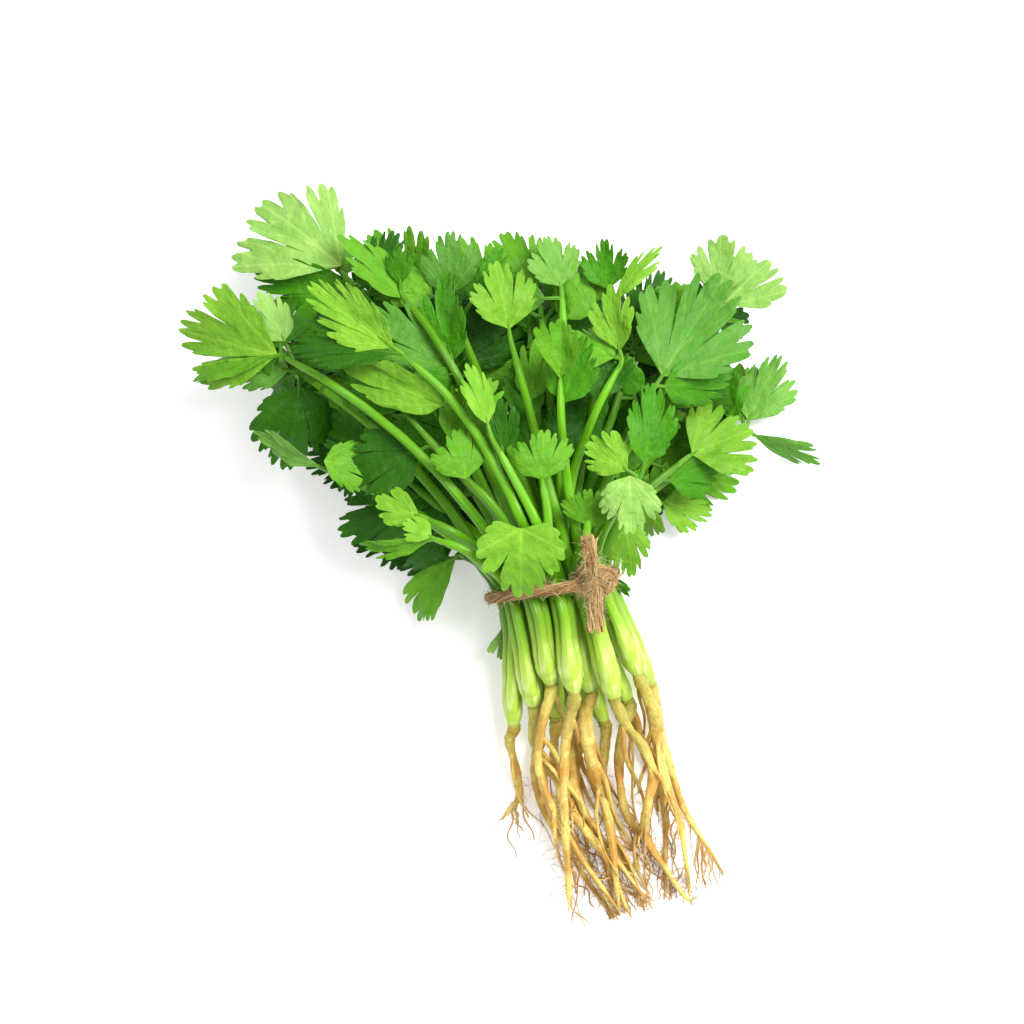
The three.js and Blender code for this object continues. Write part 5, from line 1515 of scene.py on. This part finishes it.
class CORIANDER_OT_roots(bpy.types.Operator):
    """Makes the fifteen roots with their side roots and hairs"""

    bl_idname = "coriander.roots"
    bl_label = "Roots"

    def execute(self, context):
        look = context.scene.coriander_root
        material = root_material(look)
        _, roots, _, _ = lay_bunch()
        for i in range(len(PLANTS)):
            shape = Shape()
            add_roots(shape, *roots[i], look, np.random.default_rng(ROOT_SEED + i))
            piece = shape.make(f"root_with_hairs_{i + 1:02d}", [material])
            put_on_bunch(piece, f"root_{i + 1:02d}")
        return {"FINISHED"}


class CORIANDER_OT_twine(bpy.types.Operator):
    """Makes the jute twine: its loop, its knot and its two cut ends"""

    bl_idname = "coriander.twine"
    bl_label = "Twine"

    def execute(self, context):
        look = context.scene.coriander_twine
        _, _, upper_end, _ = lay_bunch()
        put_on_bunch(build_twine(upper_end, look, jute_material()), "twine")
        return {"FINISHED"}


class CORIANDER_OT_stage(bpy.types.Operator):
    """Makes the floor, the light, the surroundings and the camera"""

    bl_idname = "coriander.stage"
    bl_label = "Stage"

    def execute(self, context):
        scene = context.scene
        look = scene.coriander_stage
        mesh = bpy.data.meshes.new("floor")
        mesh.from_pydata([(-3, -3, 0), (3, -3, 0), (3, 3, 0), (-3, 3, 0)], [], [(0, 1, 2, 3)])
        mesh.materials.append(plain_material("floor", look.floor, 0.9, look.floor_glow))
        floor = bpy.data.objects.new("floor", mesh)
        scene.collection.objects.link(floor)
        light = bpy.data.lights.new("large light", "AREA")
        light.energy = look.light
        light.size = 0.5
        lamp = bpy.data.objects.new("large light", light)
        lamp.location = (0.5, 0.25, 0.95)
        lamp.rotation_euler = (math.radians(-14), math.radians(27), 0)
        scene.collection.objects.link(lamp)
        world = bpy.data.worlds.new("surroundings")
        world.use_nodes = True
        background = world.node_tree.nodes["Background"]
        background.inputs["Color"].default_value = (1, 1, 1, 1)
        background.inputs["Strength"].default_value = look.glow
        scene.world = world
        camera = bpy.data.cameras.new("camera")
        camera.lens = look.lens
        camera.sensor_width = 36
        camera.clip_end = 10
        eye = bpy.data.objects.new("camera", camera)
        eye.location = (look.across, look.forward, look.height)
        eye.rotation_euler = (0, 0, look.turn)
        scene.collection.objects.link(eye)
        scene.camera = eye
        scene.view_settings.view_transform = "Standard"
        return {"FINISHED"}


class CORIANDER_PT_bunch(bpy.types.Panel):
    """Makes the bunch piece by piece"""

    bl_label = "Coriander bunch"
    bl_idname = "CORIANDER_PT_bunch"
    bl_space_type = "VIEW_3D"
    bl_region_type = "UI"
    bl_category = "Coriander"

    def draw(self, context):
        for operator in OPERATORS:
            self.layout.operator(operator.bl_idname)
        for name, _ in LOOKS:
            look = getattr(context.scene, name)
            box = self.layout.box()
            for key in type(look).__annotations__:
                box.prop(look, key)


OPERATORS = (CORIANDER_OT_leafy_plants, CORIANDER_OT_roots, CORIANDER_OT_twine, CORIANDER_OT_stage)
LOOKS = (
    ("coriander_leaf", CORIANDER_PG_leaf),
    ("coriander_stalk", CORIANDER_PG_stalk),
    ("coriander_root", CORIANDER_PG_root),
    ("coriander_twine", CORIANDER_PG_twine),
    ("coriander_stage", CORIANDER_PG_stage),
)


def register():
    for name, look in LOOKS:
        bpy.utils.register_class(look)
        setattr(bpy.types.Scene, name, bpy.props.PointerProperty(type=look))
    for kind in (*OPERATORS, CORIANDER_PT_bunch):
        bpy.utils.register_class(kind)


def unregister():
    for kind in (CORIANDER_PT_bunch, *reversed(OPERATORS)):
        bpy.utils.unregister_class(kind)
    for name, look in reversed(LOOKS):
        delattr(bpy.types.Scene, name)
        bpy.utils.unregister_class(look)


def main():
    register()
    bpy.ops.coriander.leafy_plants()
    bpy.ops.coriander.roots()
    bpy.ops.coriander.twine()
    bpy.ops.coriander.stage()
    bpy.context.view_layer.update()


if __name__ == "__main__":
    main()
